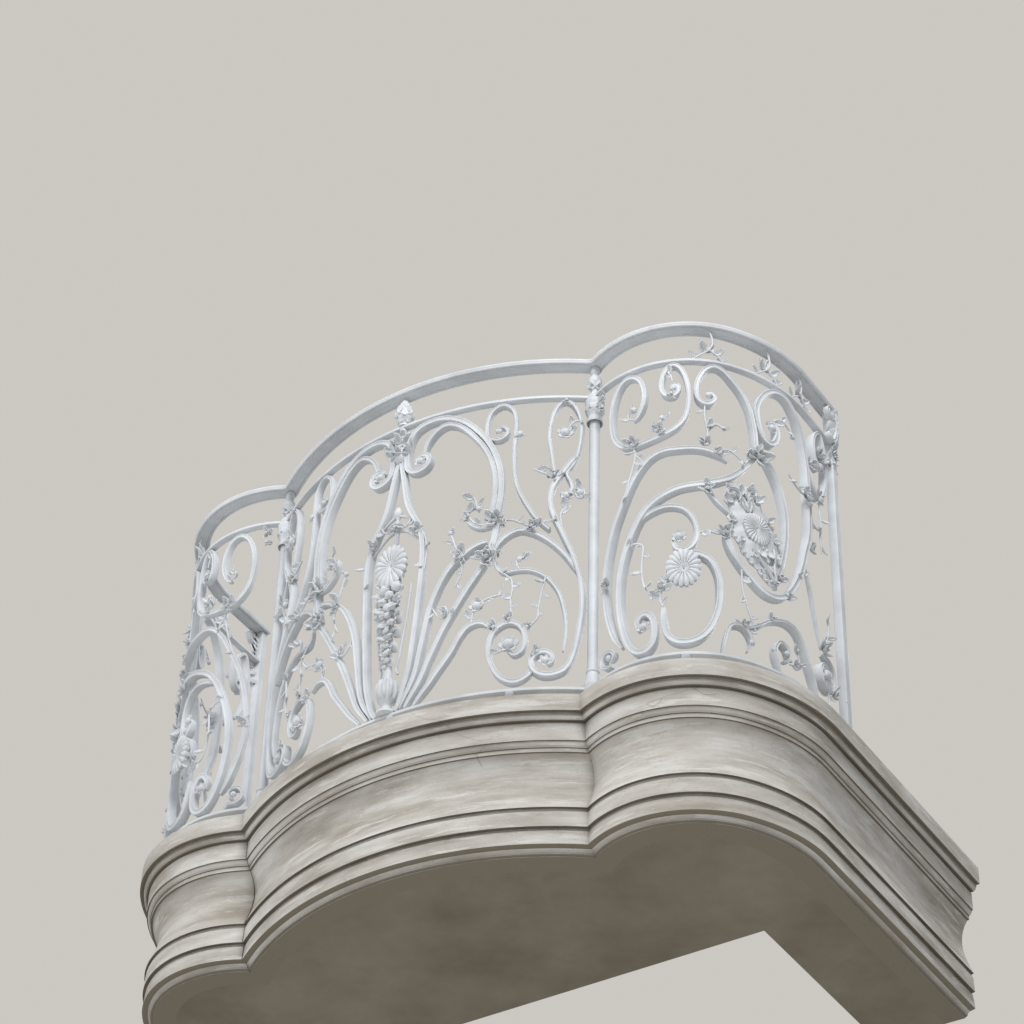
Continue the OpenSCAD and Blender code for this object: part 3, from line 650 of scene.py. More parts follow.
def weathered_stone(name, finish, soffit=False):
    """Bedded limestone with pale streaks, pits, brown dirt and painted shade in the undercuts, painted shade
    on the mouldings' downward faces, and a few thin cracks.
    """
    material = bpy.data.materials.new(name)
    add = node_maker(material)
    where = add("ShaderNodeTexCoord").outputs["Object"]

    def bedded(along, across):
        return add("ShaderNodeMapping", {"Vector": where, "Scale": (along, along, across)}).outputs[0]

    def noise(vector, scale, detail=5.0, rough=0.6):
        return noise_of(add, vector, scale, detail, rough)

    # The soffit's colours are partly dirt and partly painted shade for the underside.
    if soffit:
        dark, mid, light = finish.soffit_dark, finish.soffit, finish.soffit_light
        streaky, stained, cracked, rugged = 0.10, 0.25, 0.15, 0.2
    else:
        dark, mid, light = finish.stone_dark, finish.stone, finish.stone_light
        streaky, stained, cracked, rugged = 0.60, 0.38, 0.30, 0.45

    beds = noise(bedded(1.0, 5.0), 3.4, 8.0, 0.62)
    colour = ramp(add, beds, [(0.33, dark), (0.5, mid), (0.66, light)])
    fine = noise(bedded(1.0, 6.0), 30.0, 6.0, 0.7)
    colour = blend_colour(add, share(add, fine, 0.3), colour, dark)
    streaks = ramp(add, noise(bedded(0.7, 7.0), 8.0, 9.0, 0.72), [(0.555, BLACK), (0.60, WHITE)])
    colour = blend_colour(add, share(add, streaks, streaky), colour, light)
    stains = ramp(add, noise(bedded(1.0, 2.6), 5.5, 8.0, 0.72), [(0.55, BLACK), (0.66, WHITE)])
    colour = blend_colour(add, share(add, stains, stained), colour, dark)
    # Painted shade: faces of the mouldings that point straight down take the darker soffit colour.
    if not soffit:
        facing = add("ShaderNodeSeparateXYZ", {0: add("ShaderNodeNewGeometry").outputs["Normal"]})
        colour = blend_colour(add, under(add, facing.outputs[2], -0.93), colour, finish.soffit)

    # Painted shade and dirt together: where ambient occlusion finds faces close by, in the undercuts, the
    # stone darkens in patches towards its dark grime colour, which here stands for shade as much as dirt.
    hollow = add("ShaderNodeAmbientOcclusion", {"Distance": 0.030}, samples=4).outputs["AO"]
    deep = share(add, maths(add, "SUBTRACT", 0.95, hollow), 2.6, clamp=True)
    patchy = add("ShaderNodeMath", {0: noise(where, 9.0, 6.0, 0.7), 1: 1.6, 2: -0.1},
                 operation="MULTIPLY_ADD", use_clamp=True).outputs[0]
    grime = share(add, deep, patchy, clamp=True)
    colour = blend_colour(add, share(add, grime, 0.9), colour, finish.stone_grime_and_shade)

    wander = add("ShaderNodeTexNoise", {"Vector": where, "Scale": 3.0, "Detail": 3.0}).outputs["Color"]
    shift = add("ShaderNodeVectorMath", {0: wander, 1: (0.35, 0.35, 0.35)}, operation="MULTIPLY").outputs[0]
    shifted = add("ShaderNodeVectorMath", {0: bedded(1.0, 2.2), 1: shift}, operation="ADD").outputs[0]
    cells = add("ShaderNodeTexVoronoi", {"Vector": shifted, "Scale": 2.6}, feature="DISTANCE_TO_EDGE")
    crack = share(add, under(add, cells.outputs["Distance"], 0.0028), over(add, noise(where, 2.2, 2.0), 0.60))
    colour = blend_colour(add, share(add, crack, cracked), colour, finish.stone_grime_and_shade)

    pits = add("ShaderNodeTexVoronoi", {"Vector": bedded(1.0, 2.0), "Scale": 110.0}, feature="F1")
    pit = share(add, under(add, pits.outputs["Distance"], 0.16), over(add, noise(where, 14.0, 2.0), 0.56))
    if not soffit:
        colour = blend_colour(add, share(add, pit, 0.45), colour, finish.stone_grime_and_shade)

    sunk = maths(add, "ADD", share(add, pit, 0.6), share(add, crack, 0.8))
    relief = maths(add, "SUBTRACT", noise(bedded(1.0, 3.0), 60.0, 8.0, 0.7), sunk)
    bump = add("ShaderNodeBump", {"Height": relief, "Strength": rugged, "Distance": 0.002})
    shader = add("ShaderNodeBsdfPrincipled", {"Base Color": colour, "Roughness": 0.84,
                                              "Normal": bump.outputs["Normal"], "Specular IOR Level": 0.22})
    add("ShaderNodeOutputMaterial", {"Surface": shader.outputs[0]})
    return material


MATERIALS = {}


def paint():
    """The iron's paint, made the first time that a piece asks for it."""
    if "iron" not in MATERIALS:
        MATERIALS["iron"] = painted_iron(bpy.context.scene.balcony_finish)
    return MATERIALS["iron"]


# What a user can change

def length_property(name, description, default, low, high):
    return bpy.props.FloatProperty(name=name, description=description, default=default, min=low, max=high,
                                   subtype="DISTANCE", unit="LENGTH")


def colour_property(name, description, default):
    return bpy.props.FloatVectorProperty(name=name, description=description, default=(*default, 1), size=4,
                                         min=0.0, max=1.0, subtype="COLOR")


class BalconySizes(bpy.types.PropertyGroup):
    """Sizes of the ironwork."""
    strap_width: length_property("Strap width", "Face width of the heavy scroll straps", 0.015, 0.008, 0.03)
    strap_depth: length_property("Strap depth", "Depth of the heavy scroll straps", 0.022, 0.01, 0.04)
    twig_width: length_property("Twig width", "Face width of the light scroll bars", 0.009, 0.004, 0.02)
    twig_depth: length_property("Twig depth", "Depth of the light scroll bars", 0.016, 0.006, 0.03)
    stem_radius: length_property("Stem radius", "Radius of the thin leafy stems", 0.0026, 0.001, 0.006)
    handrail_width: length_property("Handrail width", "Width of the handrail", 0.042, 0.03, 0.08)
    thin_rail_depth: length_property("Thin rail depth", "Depth of the two thin rails", 0.018, 0.01, 0.04)
    post_diameter: length_property("Post diameter", "Diameter of the post shafts", 0.026, 0.015, 0.05)
    daisy_radius: length_property("Daisy radius", "Radius of the daisy rosettes", 0.046, 0.02, 0.08)
    daisy_petals: bpy.props.IntProperty(
        name="Daisy petals", description="Number of petals of a daisy rosette", default=18, min=8, max=32)


class BalconyFinish(bpy.types.PropertyGroup):
    """Colours of the paint and the stone."""
    paint: colour_property("Paint", "Main colour of the painted iron", (0.68, 0.705, 0.73))
    paint_worn: colour_property("Worn paint", "Paint where it has thinned", (0.56, 0.58, 0.60))
    # Joint shade is painted shade, the grey that the paint takes where bars and leaves meet.
    joint_shade: colour_property("Joint shade", "Paint where bars meet", (0.64, 0.64, 0.625))
    grime: colour_property("Grime", "Dirt in the joints of the ironwork", (0.075, 0.062, 0.05))
    rust: colour_property("Rust", "Specks of rust", (0.13, 0.085, 0.055))
    stone: colour_property("Stone", "Main colour of the stone", (0.535, 0.507, 0.462))
    stone_light: colour_property("Light stone", "Pale beds and streaks of the stone", (0.70, 0.685, 0.655))
    stone_dark: colour_property("Dark stone", "Dark beds of the stone", (0.350, 0.316, 0.266))
    # This colour is partly real dirt and partly painted shade in the undercuts, and it also darkens the
    # cracks and pits.
    stone_grime_and_shade: colour_property("Stone grime", "Dirt in the undercuts of the stone", (0.085, 0.066, 0.048))
    # The soffit colours are darker than the stone partly for dirt and partly as painted shade, since the
    # underside faces away from the light. The main soffit colour also paints shade on the mouldings' downward
    # faces.
    soffit: colour_property("Soffit", "Main colour of the underside", (0.200, 0.176, 0.134))
    soffit_light: colour_property("Light soffit", "Pale clouds on the underside", (0.240, 0.214, 0.168))
    soffit_dark: colour_property("Dark soffit", "Dark clouds on the underside", (0.155, 0.133, 0.098))


# Stage

def add_floor():
    floor = primitive(bpy.ops.mesh.primitive_plane_add, size=FLOOR_SIZE, location=(0, 0, FLOOR_Z))
    floor.name = "floor"
    floor.data.transform(floor.matrix_world)
    floor.matrix_world = Matrix.Identity(4)
    material = bpy.data.materials.new("pale_floor")
    add = node_maker(material)
    shader = add("ShaderNodeBsdfPrincipled", {"Base Color": FLOOR_COLOUR, "Roughness": 0.9})
    add("ShaderNodeOutputMaterial", {"Surface": shader.outputs[0]})
    floor.data.materials.append(material)


def add_sky():
    """Even light from all round, and a pale backdrop where the camera looks past the balcony."""
    world = bpy.data.worlds.new("soft_sky")
    bpy.context.scene.world = world
    add = node_maker(world)
    seen = add("ShaderNodeBackground", {"Color": BACKDROP})
    lit = add("ShaderNodeBackground", {"Color": SKY_LIGHT, "Strength": SKY_STRENGTH})
    ahead = add("ShaderNodeLightPath").outputs["Is Camera Ray"]
    choose = add("ShaderNodeMixShader", {0: ahead, 1: lit.outputs[0], 2: seen.outputs[0]})
    add("ShaderNodeOutputWorld", {"Surface": choose.outputs[0]})


def add_lamp(name, spot, aim, size, power):
    data = bpy.data.lights.new(name, "AREA")
    data.size = size
    data.energy = power
    lamp = new_object(name, data)
    lamp.location = spot
    lamp.rotation_euler = (Vector(aim) - Vector(spot)).to_track_quat("-Z", "Y").to_euler()


def add_camera():
    azimuth, elevation, roll = (math.radians(a) for a in (CAMERA_AZIMUTH, CAMERA_ELEVATION, CAMERA_ROLL))
    level = math.cos(elevation)
    ahead = Vector((-math.sin(azimuth) * level, math.cos(azimuth) * level, math.sin(elevation)))
    right = Vector((math.cos(azimuth), math.sin(azimuth), 0))
    up = right.cross(ahead)
    rolled_right = math.cos(roll) * right + math.sin(roll) * up
    rolled_up = math.cos(roll) * up - math.sin(roll) * right
    data = bpy.data.cameras.new("camera")
    data.sensor_width = 36
    data.lens = CAMERA_LENS
    data.clip_end = CAMERA_REACH
    camera = new_object("camera", data)
    turn = Matrix((rolled_right, rolled_up, -ahead)).transposed().to_4x4()
    camera.matrix_world = Matrix.Translation(CAMERA_SPOT) @ turn
    bpy.context.scene.camera = camera


class BALCONY_OT_stage(bpy.types.Operator):
    """Adds the pale floor, the soft lamps and the camera"""
    bl_idname = "balcony.stage"
    bl_label = "Stage"

    def execute(self, context):
        context.scene.view_settings.view_transform = "Standard"
        add_floor()
        add_sky()
        for lamp in LAMPS:
            add_lamp(*lamp)
        add_camera()
        return {"FINISHED"}


# Stone

class BALCONY_OT_stone(bpy.types.Operator):
    """Gives the slab and its moulded stones their weathered finish"""
    bl_idname = "balcony.stone"
    bl_label = "Stone"

    def execute(self, context):
        finish = context.scene.balcony_finish
        moulded = weathered_stone("moulded_stone", finish)
        core = weathered_stone("plain_soffit", finish, soffit=True)
        for name, node in frame["nodes"].items():
            if name.endswith("cornice") or name == "deck_core":
                node.data.materials.clear()
                node.data.materials.append(core if name == "deck_core" else moulded)
        return {"FINISHED"}


# Rails

RAIL_STEP = 0.014


def run(section, half):
    """A bar of one section laid along the rails, as far to both sides of the middle, both ends closed."""
    n = round(2 * half / RAIL_STEP)
    stops = [half * (2 * i / n - 1) for i in range(n + 1)]
    for cusp in (-PLAN.bow_half, PLAN.bow_half):
        stops = [s for s in stops if abs(s - cusp) > RAIL_STEP / 2] + [cusp]
    stops.sort()
    bm = bmesh.new()
    rings = [[bm.verts.new((s, z, out)) for out, z in section] for s in stops]
    for a, b in zip(rings, rings[1:]):
        for k in range(len(section)):
            j = (k + 1) % len(section)
            bm.faces.new((a[k], b[k], b[j], a[j]))
    bm.faces.new(rings[0])
    bm.faces.new(rings[-1][::-1])
    return from_bmesh("run", bm)


def handrail_section(width, thick, z):
    """The moulded handrail: a grooved underside, a lip and a cove at each side, and a crowned top."""
    half = [(0.0, 0.12), (0.17, 0.12), (0.20, 0.02), (0.25, 0.02), (0.28, 0.16), (0.34, 0.16), (0.37, 0.03),
            (0.42, 0.0), (0.46, 0.05), (0.48, 0.20), (0.47, 0.32), (0.50, 0.42), (0.50, 0.62), (0.47, 0.78),
            (0.38, 0.90), (0.20, 0.98), (0.0, 1.0)]
    right = [(a * width, z + b * thick) for a, b in half]
    left = [(-a * width, z + b * thick) for a, b in half[-2:0:-1]]
    return right + left


def box_section(width, tall, z, edge=0.0012):
    w, top = width / 2, z + tall
    return [(-w + edge, z), (w - edge, z), (w, z + edge), (w, top - edge), (w - edge, top),
            (-w + edge, top), (-w, top - edge), (-w, z + edge)]


class BALCONY_OT_rails(bpy.types.Operator):
    """Lays the moulded handrail and the two thin rails round the plan"""
    bl_idname = "balcony.rails"
    bl_label = "Rails"

    def execute(self, context):
        sizes = context.scene.balcony_sizes
        end = PLAN.bow_half + PLAN.panel_len
        hand = handrail_section(sizes.handrail_width, HAND_T, HAND_Z)
        upper = box_section(sizes.thin_rail_depth, RAIL_T, UPPER_Z)
        bottom = box_section(sizes.thin_rail_depth, RAIL_T, BOTTOM_Z)
        for name, section, half, angle, node in (
                ("moulded_handrail", hand, end, SHARP_CAST, "handrail"),
                ("upper_thin_rail", upper, end - END_BAR, SHARP_BAR, "upper_rail"),
                ("bottom_thin_rail", bottom, end - END_BAR, SHARP_BAR, "bottom_rail")):
            nodes = (f"{node}_bow", f"left_{node}", f"right_{node}")
            iron_piece(name, [wrap(run(section, half))], angle, nodes)
        return {"FINISHED"}


# Posts, end bars and feet

def turned(profile, centre, base, steps=32):
    """A shape turned round the upright line at a plan point, from its [radius, height] profile over base."""
    mesh = bpy.data.meshes.new("turned")
    mesh.from_pydata([(r, 0, z) for r, z in profile], [(i, i + 1) for i in range(len(profile) - 1)], [])
    obj = new_object("turned", mesh)
    pick(obj)
    bpy.ops.object.mode_set(mode="EDIT")
    bpy.ops.mesh.select_all(action="SELECT")
    bpy.ops.mesh.spin(steps=steps, angle=math.tau, center=(0, 0, 0), axis=(0, 0, 1))
    bpy.ops.object.mode_set(mode="OBJECT")
    mesh.transform(Matrix.Translation((centre.x, centre.y, base)))
    return face_outwards(obj)


def post_profile(r):
    """A post from its knob up: bell, shaft, capital, and the bud that carries the handrail."""
    c = COLLAR_SHARE * r
    foot = FOOT_GAP + RAIL_T
    cap = UPPER_Z - DECK
    stages = (
        (r, 0, [(0, 0), (0.7, 0), (0.72, 0.003), (0.9, 0.006), (1, 0.011), (1, 0.018), (0.86, 0.024)]),
        (r, FOOT_GAP, [(0.7, -0.014), (0.78, -0.011), (COLLAR_SHARE, -0.008)]),
        (c, foot, [(1, 0.002), (1.04, 0.005), (1.02, 0.009), (0.92, 0.016), (0.84, 0.024), (0.74, 0.034),
                   (0.70, 0.039)]),
        (r, foot, [(1.06, 0.043), (1.2, 0.045), (1.22, 0.048), (1.18, 0.051), (1, 0.053), (0.98, 0.20)]),
        (r, cap, [(0.98, -0.20), (1, -0.062)]),
        (c, cap, [(0.80, -0.068), (0.86, -0.076), (0.93, -0.0775), (0.96, -0.074), (0.90, -0.066),
                  (0.80, -0.060), (0.80, -0.056), (0.88, -0.052), (0.94, -0.042), (1.04, -0.028),
                  (1.14, -0.018), (1.16, -0.011), (1.10, -0.005), (0.92, -0.001)]),
        (c, cap + RAIL_T, [(0.92, 0), (0.86, 0.003), (0.78, 0.005), (0.50, 0.011), (0.40, 0.019),
                           (0.38, 0.026), (0.46, 0.030), (0.60, 0.036), (0.75, 0.043), (0.81, 0.050),
                           (0.77, 0.058), (0.62, 0.065), (0.48, 0.071), (0.40, 0.076), (0.54, 0.080),
                           (0.57, 0.084)]),
        (c, RAIL_H - HAND_T, [(0.52, -0.003), (0.52, 0), (0, 0)]),
    )
    return [(part * radius, base + z) for radius, base, line in stages for part, z in line]


def post(side, r):
    """A turned post at a cusp, with the petals of its capital and of its bud."""
    c = COLLAR_SHARE * r
    neck = UPPER_Z + RAIL_T
    spot = PLAN.cusp(RAIL_INSET)
    centre = Vector((side * spot.x, spot.y))
    petals = ring_of("petal", 5, centre, 0.46 * c, neck + 0.024, 0.046, 14)
    petals += ring_of("petal", 5, centre, 0.40 * c, neck + 0.046, 0.034, 8, shift=0.5)
    petals += ring_of("petal", 8, centre, 0.84 * c, UPPER_Z - 0.050, 0.044, 24)
    return [turned(post_profile(r), centre, DECK), gather("petals", petals)]


def end_bar(side):
    """The square bar that ends the railing on one side."""
    tall = RAIL_H - HAND_T
    spot = (side * (PLAN.side_x - RAIL_INSET), -END_BAR / 2, DECK + tall / 2)
    bar = primitive(bpy.ops.mesh.primitive_cube_add, size=1, location=(0, 0, 0))
    bar.data.transform(Matrix.Translation(spot) @ Matrix.Diagonal((END_BAR, END_BAR, tall, 1)))
    return apply_modifier(bar, "BEVEL", width=0.002, segments=3)


def rail_end_leaf(side):
    """The curled leaf that hangs from the handrail's end, and the knot of leaves on the end bar."""
    end = PLAN.bow_half + PLAN.panel_len
    out = 0.015
    back = [(-0.004, 0.000), (-0.006, -0.030), (-0.009, -0.062), (-0.016, -0.092), (-0.030, -0.110),
            (-0.044, -0.108), (-0.048, -0.096), (-0.040, -0.090)]
    brow = [(-0.010, -0.034), (-0.024, -0.038), (-0.040, -0.034), (-0.050, -0.020), (-0.044, -0.008),
            (-0.034, -0.012)]
    paths = [([Vector((end + x, HAND_Z + z)) for x, z in line], 0.8, 0.5, out) for line in (back, brow)]
    strips = wrap(straps(paths, strap_section(0.011, 0.016), taper=0.02), side)
    leaves = []
    for x, z, grow, turn in (
            (-0.004, 0.012, 0.062, 176), (-0.006, -0.018, 0.064, 180), (-0.009, -0.050, 0.062, 186),
            (-0.014, -0.082, 0.052, 196), (-0.014, -0.010, 0.044, 158), (-0.018, -0.040, 0.042, 152)):
        leaves.append(place("petal", end + x, HAND_Z + z, out + 0.006, grow, turn=turn, tip=3))
    leaves.append(place("bud", end - 0.040, HAND_Z - 0.098, out, 0.010))
    leaves.append(place("bud", end - 0.040, HAND_Z - 0.018, out, 0.009))
    low = UPPER_Z - 0.034
    leaves += knot(end - 0.012, low, 0.006, 0.036, (20, 70, 120, 165, 205, 250, 290, 335), seed=3)
    leaves += knot(end - 0.016, low - 0.028, 0.004, 0.030, (180, 215, 250, 285, 325), seed=5)
    return [strips, wrap(gather("tuft", leaves), side)]


def ball_feet():
    """The seven balls that the bottom rail stands on."""
    stops = [t * PLAN.bow_half for t in (-0.62, 0.03, 0.62)]
    for t in (0.33, 0.66):
        stops += [PLAN.bow_half + t * PLAN.panel_len, -PLAN.bow_half - t * PLAN.panel_len]
    shape = [(0, 0), (BALL_R * 0.9, 0), (BALL_R * 0.95, 0.003), (BALL_R * 0.6, 0.006)]
    for a in range(-50, 61, 11):
        angle = math.radians(a)
        shape.append((BALL_R * math.cos(angle), 0.004 + BALL_R * (1 + math.sin(angle))))
    shape += [(BALL_R * 0.45, 0.0335), (BALL_R * 0.75, 0.038), (BALL_R * 0.8, FOOT_GAP), (0, FOOT_GAP)]
    return [turned(shape, PLAN.at(s, 0), DECK, 20) for s in stops]


class BALCONY_OT_posts(bpy.types.Operator):
    """Turns the two posts with bell capitals, the end bars and the ball feet"""
    bl_idname = "balcony.posts"
    bl_label = "Posts and feet"

    def execute(self, context):
        radius = context.scene.balcony_sizes.post_diameter / 2
        for side, hand in HANDS:
            iron_piece(f"post_{hand}_turned", post(side, radius), SHARP_TURNED, (f"{hand}_post",))
            bar = [end_bar(side)] + rail_end_leaf(side)
            iron_piece(f"end_bar_{hand}", bar, SHARP_TURNED, (f"{hand}_end_post",))
        iron_piece("ball_feet_turned", ball_feet(), SHARP_TURNED, ("ball_feet",))
        return {"FINISHED"}


# Scroll straps, drawn on the flat sheets

BOW_SCROLLS = {
    "big": [(262, 490), (272, 550), (276, 610), (268, 680), (243, 750), (210, 800), (172, 840), (125, 864),
            (76, 866), (38, 846), (22, 800)] + curl((60, 748), 38, 12, 180, 520),
    "inner": [(70, 772), (78, 800), (97, 826), (124, 841), (152, 834), (178, 813), (203, 782), (230, 740),
              (251, 688), (260, 640), (261, 590), (257, 545), (249, 500)],
    "small": [(394, 465), (363, 500), (338, 545), (318, 592), (308, 640), (305, 700), (306, 760), (308, 805),
              (300, 850), (274, 871), (247, 854), (236, 820)] + curl((267, 786), 32, 9, 180, 520),
    "spray": [(264, 490), (227, 488), (198, 510), (189, 547), (208, 559), (221, 544)],
    "oval": [(405, 632), (396, 705), (390, 760), (396, 815), (410, 855), (430, 871), (452, 853), (468, 800),
             (464, 727), (451, 673), (434, 640), (443, 612), (446, 590), (432, 563), (420, 575)],
    "arch": [(258, 400), (273, 432), (300, 458), (332, 466), (375, 445), (414, 410), (442, 373), (460, 338)],
    "outer": [(244, 443), (214, 433), (178, 405), (146, 369), (119, 310), (105, 260), (96, 205), (87, 151),
              (78, 96), (62, 50), (38, 8)],
    "fan": [(240, 374), (196, 301), (160, 233), (139, 190), (113, 128), (86, 60), (52, 6)],
    "low": [(256, 188), (240, 200), (222, 202), (201, 192), (183, 165), (165, 128), (137, 87), (110, 48),
            (76, 6)],
    "stem": [(267, 488), (262, 440), (250, 395)],
    "ring": [(366, 66), (350, 36), (318, 20), (284, 40), (263, 85), (258, 130), (270, 172), (300, 192),
             (330, 180), (343, 146), (337, 112), (318, 98), (304, 112)],
    "long": [(462, 705), (420, 635), (397, 583), (399, 523), (425, 453), (451, 384), (470, 310), (474, 230),
             (464, 142), (451, 83), (434, 50)] + curl((391, 76), 44, 10, -62, -420),
    "thin": [(269, 378), (284, 344), (323, 346), (355, 342), (387, 323), (410, 292), (424, 260), (435, 205),
             (437, 150), (431, 105)],
    "lyre": [(4, 766), (14, 712), (29, 627), (46, 582), (66, 540), (78, 480), (80, 400), (75, 300), (68, 200),
             (58, 100), (40, 28), (28, 4)],
}

LOBE_SCROLLS = {
    "pair": [(140, 720), (154, 731), (168, 765), (170, 803), (160, 840), (140, 860), (115, 860), (92, 833),
             (78, 785), (77, 737), (87, 687), (110, 652), (140, 637), (180, 640), (215, 651), (246, 668),
             (268, 698), (278, 745), (278, 792), (270, 835), (257, 862), (240, 871), (223, 854), (214, 820),
             (215, 792), (226, 774), (242, 772), (254, 786), (253, 803), (241, 808), (236, 797)],
    "third": [(333, 786), (342, 768), (333, 750), (317, 745), (302, 758), (297, 785), (303, 822), (320, 855),
              (343, 868), (366, 858), (385, 838), (403, 817), (418, 796), (431, 770), (439, 745), (447, 700),
              (450, 655), (454, 625)],
    "hook": [(723, 771), (735, 768), (725, 740), (703, 754), (694, 802), (712, 846), (744, 862), (766, 800),
             (766, 735), (750, 680), (724, 646), (697, 641), (674, 668), (661, 712)],
    "strap": [(450, 622), (436, 598), (410, 561), (370, 520), (315, 494), (257, 481), (217, 464), (183, 441),
              (157, 409), (134, 362), (114, 306), (102, 240), (102, 165), (112, 100), (127, 50), (147, 22),
              (168, 18), (185, 34), (192, 62), (190, 95), (177, 119), (160, 121), (149, 104), (153, 82)],
    "ring": [(221, 212), (228, 246), (243, 270), (266, 281), (297, 279), (323, 262), (339, 222), (342, 172),
             (335, 118), (316, 66), (286, 34), (248, 28), (222, 50), (213, 92), (212, 132)],
    "great": [(497, 752), (508, 757), (519, 746), (523, 722), (515, 695), (497, 680), (476, 687), (461, 722),
              (457, 775), (479, 825), (513, 857), (549, 865), (581, 850), (610, 816), (631, 770), (646, 706),
              (650, 640), (651, 556), (646, 490), (636, 452), (620, 412), (600, 352), (571, 293), (543, 248),
              (515, 221), (483, 209), (450, 216), (418, 243), (390, 276), (371, 308), (361, 345), (366, 370)],
    "tail": [(300, 492), (320, 474), (343, 442), (368, 420), (397, 394)],
    "branch": [(150, 398), (183, 418), (223, 427), (262, 416), (285, 384), (292, 343), (283, 311), (263, 293),
               (243, 300), (237, 322), (248, 337)],
    "sweep": [(107, 53), (90, 82), (74, 128), (63, 175), (57, 243), (62, 312), (73, 366), (87, 414),
              (110, 467), (143, 534), (177, 578), (212, 597), (257, 600), (303, 600), (343, 590), (372, 573)],
    "oval": [(460, 635), (473, 627), (491, 605), (510, 576), (526, 541), (537, 500), (541, 456), (538, 408),
             (530, 362), (518, 314), (503, 272)],
    "stay": [(612, 380), (632, 345), (664, 246), (690, 170)],
    "small": [(343, -3), (354, 53), (368, 86), (399, 88), (418, 57), (407, 24)],
    "wave": [(404, 88), (438, 106), (461, 125), (487, 141), (524, 153), (562, 147), (589, 115), (610, 71),
             (631, 36), (648, -3)],
    "low": [(500, -3), (484, 47), (498, 84), (524, 78), (530, 49), (511, 37)],
    "corner": [(98, -3), (88, 8)] + curl((70, 42), 28, 9, 290, -90),
    "foot": curl((702, 100), 56, 12, 100, -430),
}

# Pieces of the bow and of a lobe: name, solid, and groups of straps. A group has its lines, its stock, its
# width and depth as shares of the stock's, and the thickness that its two ends taper to.
BOW_PIECES = (
    ("scroll_straps_bow", "bow_scrolls", (
        ("big", "strap", 1, 1, 1.0, 0.6), ("inner", "strap", 0.85, 0.95, 0.7, 0.6),
        ("small oval", "slat", 1, 0.86, 1.0, 0.6), ("spray", "twig", 1, 1, 0.6, 0.4),
        ("arch", "strap", 0.85, 0.9, 0.8, 0.6))),
    ("fan_straps_bow", "bow_arches", (
        ("outer", "strap", 0.85, 1, 0.8, 0.6), ("fan", "strap", 0.85, 0.9, 1.0, 0.6),
        ("low ring", "strap", 0.85, 0.84, 0.6, 0.6), ("stem", "strap", 1, 1.08, 1.0, 1.0))),
    ("post_scrolls_bow", "post_scrolls", (
        ("long", "strap", 0.85, 1, 0.7, 0.6), ("thin", "twig", 1, 1, 0.5, 0.5))),
)
LYRE = (("lyre", "strap", 0.85, 1, 0.8, 0.7),)
LOBE_PIECES = (
    ("top_scrolls_lobe", "top_scrolls", (
        ("pair", "strap", 0.8, 0.86, 0.5, 0.5), ("third", "strap", 0.8, 1, 0.5, 0.8),
        ("hook", "slat", 1, 1, 0.6, 0.6))),
    ("ring_scroll_lobe", "ring_scroll", (("strap ring", "strap", 1, 1, 0.8, 0.6),)),
    ("great_scroll_lobe", "great_scroll", (
        ("great", "strap", 1, 1, 0.5, 0.6), ("tail", "twig", 1, 1, 0.5, 0.5),
        ("branch", "strap", 0.8, 0.86, 0.6, 0.5))),
    ("sweep_scrolls_lobe", "sweeps", (
        ("sweep", "strap", 0.8, 1, 0.5, 0.4), ("oval", "strap", 1, 1, 0.6, 0.6),
        ("stay", "twig", 1, 0.6, 0.5, 0.5))),
    ("foot_scrolls_lobe", "foot_scrolls", (("small wave low corner foot", "slat", 1, 1, 0.6, 0.5),)),
)


def bend(scrolls, groups, fit, side):
    """The straps of one piece, bent and laid round the rails."""
    sizes = bpy.context.scene.balcony_sizes
    stocks = {"strap": (sizes.strap_width, sizes.strap_depth), "slat": (sizes.twig_width, sizes.strap_depth),
              "twig": (sizes.twig_width, sizes.twig_depth)}
    shapes = []
    for names, stock, wide, deep, start, end in groups:
        width, depth = stocks[stock]
        paths = [(fit(scrolls[name]), start, end, 0.0) for name in names.split()]
        shapes.append(wrap(straps(paths, strap_section(width * wide, depth * deep)), side))
    return shapes


def scroll_pieces(scrolls, pieces, fit):
    """All pieces of one panel, and the same ones mirrored."""
    for side, hand in HANDS:
        for name, solid, groups in pieces:
            shapes = bend(scrolls, groups, fit, side)
            iron_piece(f"{name}_{hand}", shapes, SHARP_BAR, (f"{hand}_{solid}",))


class BALCONY_OT_bow_scrolls(bpy.types.Operator):
    """Bends the scroll straps of the bow, both halves"""
    bl_idname = "balcony.bow_scrolls"
    bl_label = "Bow scrolls"

    def execute(self, context):
        scroll_pieces(BOW_SCROLLS, BOW_PIECES, on_bow)
        halves = bend(BOW_SCROLLS, LYRE, on_bow, -1) + bend(BOW_SCROLLS, LYRE, on_bow, 1)
        iron_piece("lyre_straps", halves, SHARP_BAR, ("bow_lyre",))
        return {"FINISHED"}


class BALCONY_OT_lobe_scrolls(bpy.types.Operator):
    """Bends the scroll straps of both side lobes"""
    bl_idname = "balcony.lobe_scrolls"
    bl_label = "Lobe scrolls"

    def execute(self, context):
        scroll_pieces(LOBE_SCROLLS, LOBE_PIECES, on_lobe)
        return {"FINISHED"}


# Daisies

# Their places on the sheets, how much taller than wide they are, and how high they rise for their radius.
DAISY_BOW = (0, 432)
DAISY_LOBE = (260, 232)
DAISY_TALL = 1.42
DAISY_DISH = 0.24


